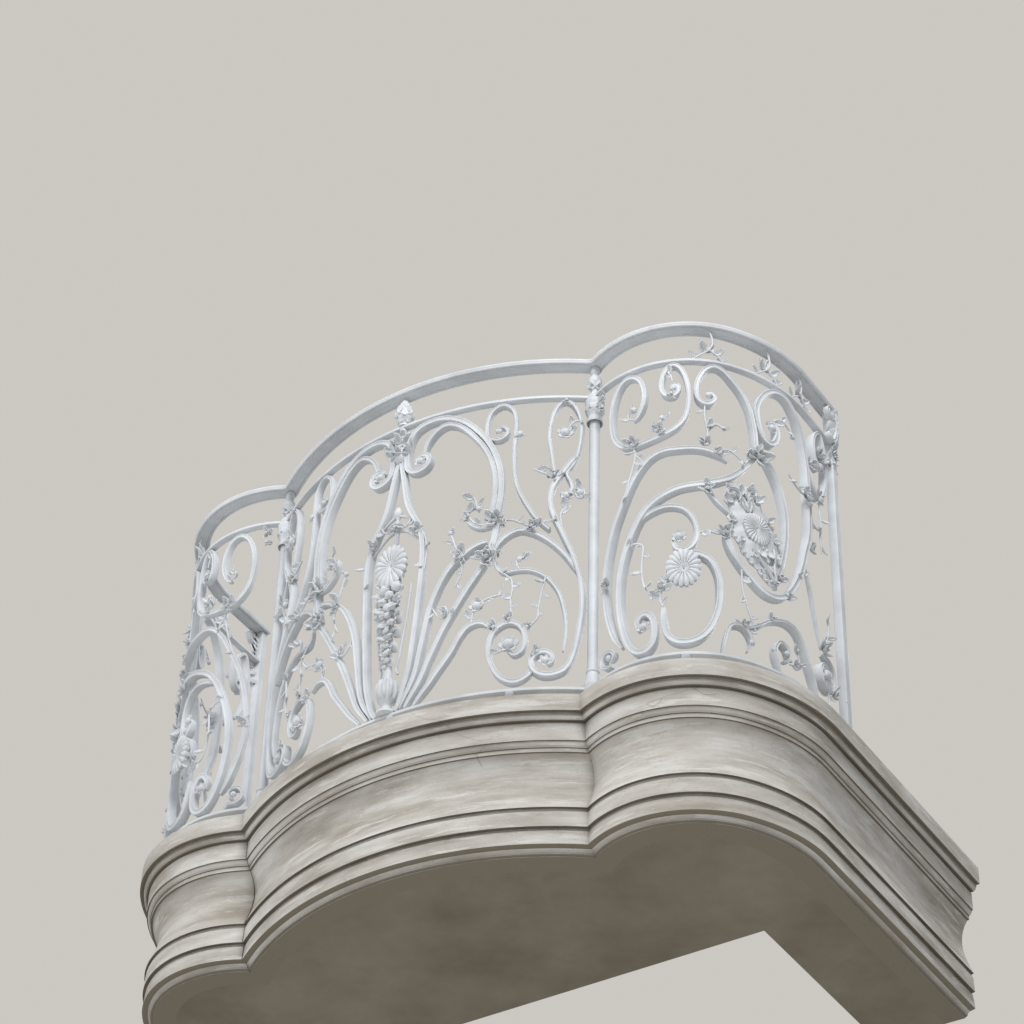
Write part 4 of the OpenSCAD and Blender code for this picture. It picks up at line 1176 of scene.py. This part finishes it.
def daisy(radius, petals, tall, dish):
    """A daisy with ribbed petals that rise to a crest, turn down at their tips and leave a dark eye."""
    rings, around = 14, petals * 8
    bm = bmesh.new()
    table = []
    for i in range(rings + 1):
        t = i / rings
        crest = dish * math.sin(math.pi * min(1.0, 0.10 + 0.62 * t)) - 0.34 * max(0.0, t - 0.72) ** 1.4
        ring = []
        for k in range(around):
            a = math.tau * k / around
            wave = abs(math.cos(petals * a / 2))
            r = radius * (0.11 + 0.89 * t) * (1 - 0.10 * (1 - wave) ** 1.4 * t ** 5)
            groove = 0.085 * (1 - wave ** 0.8) * min(1.0, 4 * t)
            ring.append(bm.verts.new((r * math.cos(a), tall * r * math.sin(a), radius * (crest - groove))))
        table.append(ring)
    back = [bm.verts.new((v.co.x * 0.95, v.co.y * 0.95, -radius * 0.16)) for v in table[-1]]
    table.append(back)
    for a, b in zip(table, table[1:]):
        for k in range(around):
            j = (k + 1) % around
            bm.faces.new((a[k], a[j], b[j], b[k]))
    eye = bm.verts.new((0, 0, -radius * 0.14))
    for k in range(around):
        bm.faces.new((eye, table[0][(k + 1) % around], table[0][k]))
    bm.faces.new(back)
    return from_bmesh("daisy", bm)


class BALCONY_OT_rosettes(bpy.types.Operator):
    """Sets the daisy rosettes in the bow and in both lobes"""
    bl_idname = "balcony.rosettes"
    bl_label = "Rosettes"

    def execute(self, context):
        sizes = context.scene.balcony_sizes
        for name, spot, grow, side, node in (
                ("daisy_bow", on_bow([DAISY_BOW])[0], 0.98, 1, "bow_daisy"),
                ("daisy_left", on_lobe([DAISY_LOBE])[0], 0.85, -1, "left_lobe_daisy"),
                ("daisy_right", on_lobe([DAISY_LOBE])[0], 0.85, 1, "right_lobe_daisy")):
            flower = daisy(sizes.daisy_radius * grow, sizes.daisy_petals, DAISY_TALL, DAISY_DISH)
            flower.data.transform(Matrix.Translation((spot.x, spot.y, sizes.strap_depth / 2 + 0.004)))
            line = [spot + Vector((0.0, rise)) for rise in (-0.02, 0.0, 0.02)]
            stub = straps([(line, 1, 1, 0.0)], strap_section(sizes.twig_width, sizes.strap_depth))
            iron_piece(name, [wrap(join([flower, stub]), side)], SHARP_DAISY, (node,))
        return {"FINISHED"}


# Finial, crown, drop and vase in the middle of the bow

# Heights on the bow's sheet.
CROWN_FOOT = 766
DROP_TOP = 366
DROP_FOOT = 126
VASE_NECK = 120
STEM_BULB = 560


def stood_upright(side, centre):
    """The turn that stands a flat ornament upright in the middle of the bow, mirrored when side is -1."""
    flip = Matrix.Scale(side, 4, (1, 0, 0))
    return Matrix.Translation((0, centre.y, 0)) @ flip @ Matrix.Rotation(math.radians(90), 4, "X")


def finial(centre):
    """The bud in the frieze, and its scales."""
    base = UPPER_Z + RAIL_T
    tall = FRIEZE_H - 0.002
    r = 0.27 * tall
    profile = [(0, 0), (0.5, 0), (0.52, 0.004 / tall), (0.42, 0.08), (0.62, 0.16), (0.80, 0.28), (0.86, 0.42),
               (0.78, 0.58), (0.56, 0.74), (0.26, 0.90), (0, 0.97)]
    core = turned([(a * r, b * tall) for a, b in profile], centre, base)
    scales = ring_of("petal", 5, centre, r * 0.52, base + tall * 0.10, 0.046, 18)
    scales += ring_of("petal", 5, centre, r * 0.84, base + tall * 0.24, 0.050, 3, shift=0.5)
    scales += ring_of("petal", 4, centre, r * 0.82, base + tall * 0.44, 0.046, -11)
    return core, scales


def crown(centre):
    """The stalk that carries the finial, and the leaves round its foot."""
    low = height(CROWN_FOOT)
    tall = UPPER_Z - low
    stalk = turned([(0, 0), (0.011, 0), (0.016, 0.006), (0.018, 0.014), (0.0185, 0.020), (0.015, 0.025),
                    (0.0165, 0.029), (0.0175, 0.033), (0.014, 0.038), (0.011, 0.05), (0.013, tall * 0.55),
                    (0.016, tall * 0.72), (0.010, tall * 0.82), (0.009, tall), (0, tall)], centre, low)
    leaves = []
    for key, count, r, rise, size, lean, shift in (
            ("leaf", 6, 0.010, 0.024, 0.028, 18, 0.0), ("petal", 6, 0.012, 0.040, 0.034, 10, 0.5),
            ("leaf", 6, 0.012, 0.056, 0.034, 8, 0.0), ("leaf", 6, 0.010, 0.072, 0.030, 6, 0.5),
            ("petal", 5, 0.008, 0.082, 0.022, 4, 0.0), ("petal", 6, 0.008, 0.024, 0.022, 130, 0.0)):
        leaves += ring_of(key, count, centre, r, low + rise, size, lean, shift)
    for side in (-1, 1):
        for spot, grow, turn in (((20, 784), 0.034, 34), ((22, 812), 0.030, 64)):
            p = on_bow([spot])[0]
            mesh, matrix = place("leaf", p.x, p.y, 0.004, grow, turn=-turn, tip=8)
            leaves.append((mesh, stood_upright(side, centre) @ matrix))
    return stalk, leaves


def fruit_drop():
    """The drop of buds and leaves that hangs over the vase."""
    top, bottom = height(DROP_TOP), height(DROP_FOOT)
    copies = []
    for side in (-1, 1):
        for x, y, grow in ((0.016, 0.004, 0.0155), (0.019, -0.034, 0.0125), (0.007, -0.052, 0.0125)):
            copies.append(place("bud", side * x, top + y, 0.011, grow, turn=30 * side))
        for x, y, grow, turn in ((0.022, 0.012, 0.030, -70), (0.026, -0.006, 0.034, -115),
                                 (0.014, -0.018, 0.036, -150), (0.024, -0.040, 0.032, -140)):
            copies.append(place("leaf", side * x * 0.8, top + y, 0.007, grow, turn=side * turn, tip=8))
    copies.append(place("bud", 0, top - 0.020, 0.017, 0.012))
    rows = 8
    for i in range(rows):
        t = i / (rows - 1)
        y = top - 0.062 + (bottom - top + 0.084) * t
        half = 0.023 * (1 - 0.68 * t) * (1 + 0.16 * math.sin(5.0 * t + 1))
        for side in (-1, 1):
            copies.append(place("petal" if i % 2 else "leaf", side * half * 0.62, y + 0.012, 0.009,
                                0.044 * (1 - 0.38 * t), turn=side * (-158 - 14 * math.sin(1.7 * i + side)),
                                tip=14 + 8 * math.sin(2.0 * i), roll=20 * side))
            copies.append(place("slim", side * half * 0.5, y + 0.004, 0.012, 0.030 * (1 - 0.45 * t),
                                turn=side * (-118 + 20 * math.sin(2.1 * i)), tip=4))
        shift = 0.006 * math.sin(3.7 * i)
        copies.append(place("bud", shift, y + 0.005, 0.014, 0.0095 * (1 - 0.3 * t), turn=50 * i,
                            stretch=1.35))
        copies.append(place("bud", -shift * 1.4, y - 0.010, 0.010, 0.0075 * (1 - 0.2 * t), turn=70 * i,
                            stretch=1.2))
    return wrap(gather("drop", copies))


def drop_rods(side):
    """The thin rods beside the drop and from the vase's stem to the lyre."""
    lines = [[(50, 372), (47, 330), (41, 270), (34, 210), (27, 160), (21, 128), (27, 112)],
             [(0, 600), (28, 586), (51, 563), (71, 514)], [(0, 550), (28, 541), (69, 500)]]
    paths = [(on_bow(line), 0.8, 0.7, 0.0) for line in lines]
    return wrap(straps(paths, round_section(0.0036), taper=0.02), side)


def vase(centre):
    """The gadrooned vase on the bottom rail, and the stem that rises from it."""
    tall = height(VASE_NECK) - SHEET_Z
    top = height(STEM_BULB) - SHEET_Z
    body = [(0.011, 0.16), (0.010, 0.24), (0.015, 0.30), (0.0205, 0.38), (0.0235, 0.50), (0.0245, 0.62),
            (0.0215, 0.74), (0.015, 0.83), (0.0125, 0.88), (0.011, 0.97), (0.009, 1.1), (0.006, 1.3)]
    bulb = [(0.006, -0.014), (0.009, -0.010), (0.012, -0.002), (0.008, 0.006), (0.005, 0.016),
            (0.0045, 0.032), (0.008, 0.037), (0.011, 0.045), (0.0105, 0.053), (0.006, 0.063), (0, 0.070)]
    profile = [(0, 0), (0.022, 0), (0.025, 0.003), (0.024, 0.008), (0.016, 0.013)]
    profile += [(r, tall * part) for r, part in body]
    profile += [(r, top + rise) for r, rise in bulb]
    lobes = []
    for i in range(10):
        turn = Matrix.Rotation(math.tau * i / 10, 4, "Z")
        spot = Matrix.Translation((centre.x, centre.y, SHEET_Z + tall * 0.60)) @ turn
        lobes.append((cast("bud"), spot @ Matrix.Translation((0.0185, 0, 0))
                      @ Matrix.Diagonal((0.0110, 0.0070, 0.036, 1))))
    lobes += ring_of("petal", 8, centre, 0.010, SHEET_Z + tall * 0.02, 0.026, 24)
    lobes += ring_of("petal", 6, centre, 0.004, SHEET_Z + top - 0.010, 0.022, 40)
    return [turned(profile, centre, SHEET_Z), face_outwards(gather("gadroons", lobes))]


class BALCONY_OT_bow_centre(bpy.types.Operator):
    """Models the bud finial, the leafy crown and the hanging drop of fruit"""
    bl_idname = "balcony.bow_centre"
    bl_label = "Bow centre"

    def execute(self, context):
        centre = PLAN.at(0, 0)
        core, scales = finial(centre)
        stalk, leaves = crown(centre)
        leafage = face_outwards(gather("leaves", scales + leaves))
        iron_piece("finial_and_crown", [core, stalk, leafage], SHARP_CAST, ("bow_finial",))
        drop = [fruit_drop()] + vase(centre) + [drop_rods(side) for side in (-1, 1)]
        iron_piece("fruit_drop_and_vase", drop, SHARP_CAST, ("bow_drop",))
        return {"FINISHED"}


# Flower plates

PLATE_LINE = [(-1.0, 0.04), (-0.86, 0.14), (-0.68, 0.26), (-0.45, 0.40), (-0.2, 0.47), (0.05, 0.50),
              (0.3, 0.45), (0.5, 0.37), (0.68, 0.36), (0.84, 0.30), (0.94, 0.18), (1.0, 0.03)]
PLATE_VEINS = [curl((0.026, 0.112), 0.021, 0.006, 250, -150), curl((-0.026, 0.112), 0.021, 0.006, -70, 330),
               [(0.0, 0.058), (0.012, 0.078), (0.010, 0.098), (0.020, 0.114)],
               [(0.0, 0.058), (-0.012, 0.078), (-0.010, 0.098), (-0.020, 0.114)],
               [(0.030, -0.042), (0.022, -0.070), (0.010, -0.100), (0.002, -0.138)],
               [(-0.030, -0.042), (-0.022, -0.070), (-0.010, -0.100), (-0.002, -0.138)]]

# Leaves of a plate's right half: x, y, size and turn. The one on the middle line isn't mirrored.
PLATE_LEAVES = [(0.008, 0.072, 0.028, -16), (0.042, 0.034, 0.028, -62), (0.040, -0.014, 0.024, -110),
                (0.022, -0.050, 0.030, -150), (0.008, -0.044, 0.034, -172), (0.030, 0.088, 0.034, -58),
                (0.024, 0.116, 0.028, -28)]


def reach(t):
    """Half the plate's width, as a share of its full width, from its tail at -1 to its head at 1."""
    for (a, wa), (b, wb) in zip(PLATE_LINE, PLATE_LINE[1:]):
        if t <= b:
            k = (t - a) / (b - a)
            return wa + (wb - wa) * k * k * (3 - 2 * k)
    return PLATE_LINE[-1][1]


def pierced(x, y):
    """Whether the plate is open at this point, in its tail or in its head."""
    u, t = x / PLATE_WIDTH, 2 * y / PLATE_LENGTH
    if t < -0.30:
        return abs(u) < 0.8 * reach(t) and math.sin(31 * t) * math.sin(40 * u + 9 * t) > 0.42
    return t > 0.62 and 0.05 < abs(u) < 0.22 and math.sin(24 * t + 3 * abs(u)) > 0.45


def pressed_plate():
    """A thin pierced plate, broad at its leafy head and narrow at its tail, ribbed round the flower."""
    along, across = 34, 16
    bm = bmesh.new()
    rows = []
    for i in range(along + 1):
        t = -1 + 2 * i / along
        y = t * PLATE_LENGTH / 2
        up = y - 0.06 * PLATE_LENGTH
        row = []
        for k in range(across + 1):
            u = -1 + 2 * k / across
            inside = 1 - u * u
            x = u * reach(t) * PLATE_WIDTH * (1 - 0.07 * abs(math.sin(9 * t)) * abs(u) ** 6)
            ribs = 0.5 + 0.5 * math.cos(22 * math.atan2(x, up + 0.0001))
            dome = 0.010 * inside * (1 - t * t)
            z = dome + 0.0035 * ribs * min(1.0, math.hypot(x, up) / 0.03) + 0.002 * math.sin(26 * t) * inside
            row.append(bm.verts.new((x, y, z)))
        rows.append(row)
    for a, b in zip(rows, rows[1:]):
        for k in range(across):
            bm.faces.new((a[k], a[k + 1], b[k + 1], b[k]))
    centres = [(face, face.calc_center_median()) for face in bm.faces]
    bmesh.ops.delete(bm, geom=[face for face, c in centres if pierced(c.x, c.y)], context="FACES")
    return apply_modifier(from_bmesh("plate", bm), "SOLIDIFY", thickness=0.005, offset=-1)


def plate_casts():
    """The beads down the tail and round the rim of a plate, and its leaves."""
    copies = []
    for i in range(16):
        t = i / 15
        x = 0.020 * math.sin(2.6 * i) * (1 - 0.62 * t)
        copies.append(place("bud", x, -0.040 - 0.096 * t, 0.008, 0.0058 * (1 - 0.3 * t), turn=40 * i))
    copies.append(place("leaf", 0, 0.108, 0.010, 0.030, tip=-14))
    for side in (-1, 1):
        for x, y, grow, turn in PLATE_LEAVES:
            copies.append(place("leaf", side * x, y, 0.010, grow, turn=side * turn, tip=-14))
        for i in range(12):
            t = -0.84 + 0.10 * i
            x = side * 0.90 * reach(t) * PLATE_WIDTH
            copies.append(place("bud", x, t * PLATE_LENGTH / 2, 0.004, 0.0042 + 0.0008 * math.sin(2.7 * i),
                                turn=40 * i))
    return gather("casts", copies)


class BALCONY_OT_cartouches(bpy.types.Operator):
    """Models the leafy flower plates that stand inside the great scrolls"""
    bl_idname = "balcony.cartouches"
    bl_label = "Flower plates"

    def execute(self, context):
        x, y = PLATE_SPOT
        lean = Matrix.Rotation(math.radians(PLATE_LEAN), 4, "Z")
        seat = Matrix.Translation((lobe_x(x), height(y), 0.002)) @ lean
        for side, hand in HANDS:
            flower = daisy(radius=0.035, petals=26, tall=1.28, dish=0.15)
            flower.data.transform(Matrix.Translation((0.0, 0.010, 0.014)))
            paths = [([Vector(q) for q in line], 0.6, 0.4, 0.011) for line in PLATE_VEINS]
            veins = straps(paths, strap_section(0.006, 0.009), taper=0.02)
            plate = join([pressed_plate(), flower, veins, plate_casts()])
            plate.data.transform(seat)
            iron_piece(f"flower_plate_{hand}", [wrap(plate, side)], SHARP_PLATE, (f"{hand}_cartouche",))
        return {"FINISHED"}


# Leafwork

# Stems, knots and buds stand on the same sheets as the scrolls they grow from. A knot has its place, its
# size and the angles of its leaves; a bud has its place and its radius.
BOW_STEMS = [
    [(262, 498), (300, 500), (325, 488), (350, 476), (372, 478), (388, 496)],
    [(262, 498), (240, 492), (212, 506), (196, 530), (192, 552)],
    [(218, 548), (213, 572), (204, 592)],
    [(352, 655), (372, 642), (396, 630)],
    [(455, 590), (456, 568), (468, 560), (478, 572), (474, 590), (462, 596)],
    [(424, 470), (420, 500), (424, 520), (436, 535)],
    [(180, 408), (168, 438), (158, 470), (150, 490)],
    [(176, 402), (186, 378), (182, 350), (168, 320)],
    [(112, 276), (128, 246), (146, 234), (154, 250), (146, 270)],
    [(212, 204), (216, 226), (224, 246), (238, 262), (262, 272), (290, 276)],
    [(264, 392), (270, 356), (290, 336), (306, 318), (310, 290), (306, 258), (308, 232), (304, 202)],
    [(324, 346), (318, 366), (324, 384), (334, 374)],
    [(388, 322), (382, 290), (376, 256), (372, 224), (370, 198), (350, 172)],
    [(306, 128), (290, 112), (272, 104)],
    [(66, 540), (84, 500), (90, 450), (86, 400)],
    [(46, 582), (36, 560), (20, 552), (6, 560)],
    [(428, 768), (440, 790), (452, 804), (467, 808)],
    [(330, 764), (318, 770)],
]
LOBE_STEMS = [
    [(140, 637), (146, 606), (138, 566), (122, 512), (112, 476)],
    [(146, 606), (160, 590), (166, 570)],
    [(317, 745), (316, 700), (322, 655), (318, 612)],
    [(322, 655), (338, 676), (352, 680), (364, 664)],
    [(343, 590), (366, 608), (392, 600), (414, 584), (440, 612)],
    [(200, 660), (206, 684), (214, 704)],
    [(292, 343), (316, 350), (342, 346), (362, 352)],
    [(118, 328), (140, 338), (164, 322), (162, 276), (162, 230), (174, 184), (192, 176), (214, 190)],
    [(212, 134), (205, 150), (206, 172), (214, 190), (221, 210)],
    [(398, 268), (398, 200), (410, 150), (424, 104), (432, 80)],
    [(531, 60), (546, 36), (562, 40), (567, 64), (560, 92)],
    [(704, 64), (714, 30), (708, -3)],
    [(560, 620), (584, 604), (612, 596), (640, 600)],
    [(568, 300), (590, 320), (604, 350)],
    [(720, 646), (716, 600), (722, 560), (712, 520), (716, 470)],
    [(690, 170), (712, 200), (730, 240), (728, 290)],
    [(508, 757), (528, 774), (556, 776), (584, 756)],
    [(240, 818), (236, 836), (228, 848)],
    [(640, 600), (660, 560), (672, 520)],
    [(141, 722), (128, 732), (130, 746), (142, 752)],
]
BOW_KNOTS = [
    (262, 500, 0.030, (20, 70, 120, 165, 215, 260, 310, 350)), (352, 474, 0.024, (40, 90, 150, 230, 300)),
    (246, 395, 0.032, (10, 60, 100, 150, 200, 250, 300)), (180, 404, 0.024, (60, 100, 150, 220, 320)),
    (404, 632, 0.022, (0, 60, 130, 200, 270)), (268, 180, 0.020, (80, 130, 200, 320)),
    (372, 100, 0.018, (60, 120, 200)), (430, 872, 0.016, (230, 270, 310)),
    (270, 396, 0.018, (330, 20, 70)), (150, 245, 0.018, (20, 100, 160)), (196, 530, 0.018, (120, 180, 240)),
    (304, 200, 0.018, (60, 100, 150)), (64, 520, 0.024, (40, 90, 130, 300)), (348, 172, 0.014, (10, 60, 300)),
]
LOBE_KNOTS = [
    (140, 640, 0.026, (30, 80, 130, 180, 340)), (200, 664, 0.024, (60, 100, 150, 330)),
    (455, 618, 0.034, (20, 70, 120, 170, 220, 270, 330)), (318, 478, 0.026, (40, 90, 220, 260, 320)),
    (362, 352, 0.026, (60, 110, 150, 200, 250)), (340, 592, 0.020, (30, 70, 330)),
    (318, 612, 0.022, (50, 90, 130)), (238, 776, 0.016, (200, 240, 300)),
    (60, 250, 0.022, (60, 110, 240, 300)),
    (503, 272, 0.026, (180, 230, 270, 320, 20)), (640, 604, 0.026, (90, 140, 200, 260)),
    (650, 440, 0.022, (60, 110, 270)), (690, 165, 0.026, (30, 80, 130, 200, 330)),
    (400, 92, 0.020, (60, 110, 160)), (530, 234, 0.020, (0, 40, 320)), (478, 136, 0.018, (60, 100, 150)),
    (716, 640, 0.026, (40, 90, 140, 230, 300)), (730, 780, 0.030, (0, 60, 120, 180, 240, 300)),
    (740, 60, 0.024, (60, 110, 160, 20)), (215, 190, 0.018, (120, 160, 200, 240)),
    (666, 720, 0.022, (60, 110, 160, 300)), (560, 40, 0.018, (60, 120)),
    (50, 850, 0.022, (180, 150, 210, 60, 300)), (48, 818, 0.020, (170, 200, 250)),
]
BOW_BUDS = [(60, 748, 0.010), (267, 786, 0.007), (428, 768, 0.013), (318, 770, 0.009), (221, 548, 0.008),
            (434, 568, 0.010), (466, 578, 0.010), (226, 252, 0.012), (305, 128, 0.015), (391, 76, 0.010),
            (152, 488, 0.007), (6, 560, 0.008), (324, 376, 0.007)]
LOBE_BUDS = [(142, 752, 0.009), (244, 795, 0.007), (327, 773, 0.009), (250, 333, 0.011), (505, 735, 0.010),
             (165, 88, 0.010), (70, 42, 0.008), (702, 100, 0.015), (214, 704, 0.007), (418, 50, 0.008),
             (522, 62, 0.008), (584, 752, 0.007), (732, 752, 0.012), (482, 56, 0.006), (560, 90, 0.007)]

# Sprigs of the frieze: place on the lobe's sheet, and a turn. Their leaves: offset along the rail, height
# over it, size and turn.
SPRIGS = [(330, 0), (497, 1), (632, 0)]
SPRIG_LEAVES = [(-0.022, 0.012, 0.034, 70), (-0.008, 0.026, 0.036, 30), (0.004, 0.040, 0.034, -20),
                (0.012, 0.024, 0.032, -64), (-0.002, 0.046, 0.030, 62), (0.020, 0.012, 0.030, -100)]


def sprig(s, kind):
    """A leafy sprig in the frieze at s along the rails: its ornaments and the lines of its two stems."""
    y = UPPER_Z + RAIL_T
    copies = []
    for k, (dx, dy, grow, turn) in enumerate(SPRIG_LEAVES):
        copies.append(place("leaf" if k % 2 else "slim", s + dx, y + dy, 0.0, grow, turn=turn + 14 * kind,
                            tip=12 * math.sin(2 * k + kind)))
    copies.append(place("floret", s, y + 0.034, 0.002, 0.013))
    copies.append(place("bud", s, y + 0.034, 0.005, 0.006))
    lines = [[(s - 0.040, y - 0.002), (s - 0.020, y + 0.014), (s, y + 0.034), (s + 0.010, y + 0.060),
              (s + 0.002, HAND_Z + 0.001)],
             [(s + 0.034, y - 0.002), (s + 0.022, y + 0.016), (s, y + 0.034)]]
    return copies, [[Vector(p) for p in line] for line in lines]


def foliage(stems, knots, buds, fit, front):
    """The leaves, knots and buds of one panel, and the lines of its stems."""
    copies = []
    lines = [fit(points) for points in stems]
    for i, line in enumerate(lines):
        copies += spray_leaves(flow(line, 2), LEAF_SIZE, front - LEAF_SINK, seed=i)
    for i, (x, y, grow, angles) in enumerate(knots):
        p = fit([(x, y)])[0]
        copies += knot(p.x, p.y, front - KNOT_SINK, grow * KNOT_GROW, angles, seed=i)
    for x, y, grow in buds:
        p = fit([(x, y)])[0]
        copies.append(place("bud", p.x, p.y, front * BUD_DEPTH, grow, turn=x))
        if grow > FLOWERING:
            copies.append(place("floret", p.x, p.y, front * BUD_DEPTH - 0.001, grow * 1.6, turn=y))
    return copies, lines


class BALCONY_OT_leafwork(bpy.types.Operator):
    """Adds the leafy knots, sprays, buds and collars along the scrolls"""
    bl_idname = "balcony.leafwork"
    bl_label = "Leafwork"

    def execute(self, context):
        sizes = context.scene.balcony_sizes
        front = sizes.strap_depth / 2
        for side, hand in HANDS:
            for zone, stems, knots, buds, fit, sprigs in (
                    ("bow", BOW_STEMS, BOW_KNOTS, BOW_BUDS, on_bow, ()),
                    ("lobe", LOBE_STEMS, LOBE_KNOTS, LOBE_BUDS, on_lobe, SPRIGS)):
                copies, lines = foliage(stems, knots, buds, fit, front)
                for x, kind in sprigs:
                    more_copies, more_lines = sprig(lobe_x(x), kind)
                    copies += more_copies
                    lines += more_lines
                leaves = wrap(gather("leaves", copies), side)
                paths = [(line, 0.7, 0.5, front - STEM_SINK) for line in lines]
                twigs = wrap(straps(paths, round_section(sizes.stem_radius), taper=0.02), side)
                iron_piece(f"leafwork_{zone}_{hand}", [leaves, twigs], SHARP_CAST)
        return {"FINISHED"}


# Panel and registration

class BALCONY_PT_panel(bpy.types.Panel):
    """Lists the pieces and their sizes"""
    bl_idname = "BALCONY_PT_panel"
    bl_label = "Balcony"
    bl_space_type = "VIEW_3D"
    bl_region_type = "UI"
    bl_category = "Balcony"

    def draw(self, context):
        for operator in OPERATORS:
            self.layout.operator(operator.bl_idname)
        for group in (context.scene.balcony_sizes, context.scene.balcony_finish):
            for key in group.__annotations__:
                self.layout.prop(group, key)


OPERATORS = (BALCONY_OT_stage, BALCONY_OT_stone, BALCONY_OT_rails, BALCONY_OT_posts, BALCONY_OT_bow_scrolls,
             BALCONY_OT_lobe_scrolls, BALCONY_OT_rosettes, BALCONY_OT_bow_centre, BALCONY_OT_cartouches,
             BALCONY_OT_leafwork)
CLASSES = (BalconySizes, BalconyFinish) + OPERATORS + (BALCONY_PT_panel,)


def register():
    for cls in CLASSES:
        bpy.utils.register_class(cls)
    bpy.types.Scene.balcony_sizes = bpy.props.PointerProperty(type=BalconySizes)
    bpy.types.Scene.balcony_finish = bpy.props.PointerProperty(type=BalconyFinish)


def unregister():
    del bpy.types.Scene.balcony_finish
    del bpy.types.Scene.balcony_sizes
    for cls in reversed(CLASSES):
        bpy.utils.unregister_class(cls)


def main():
    register()
    bpy.ops.balcony.stage()
    bpy.ops.balcony.stone()
    bpy.ops.balcony.rails()
    bpy.ops.balcony.posts()
    bpy.ops.balcony.bow_scrolls()
    bpy.ops.balcony.lobe_scrolls()
    bpy.ops.balcony.rosettes()
    bpy.ops.balcony.bow_centre()
    bpy.ops.balcony.cartouches()
    bpy.ops.balcony.leafwork()


if __name__ == "__main__":
    main()
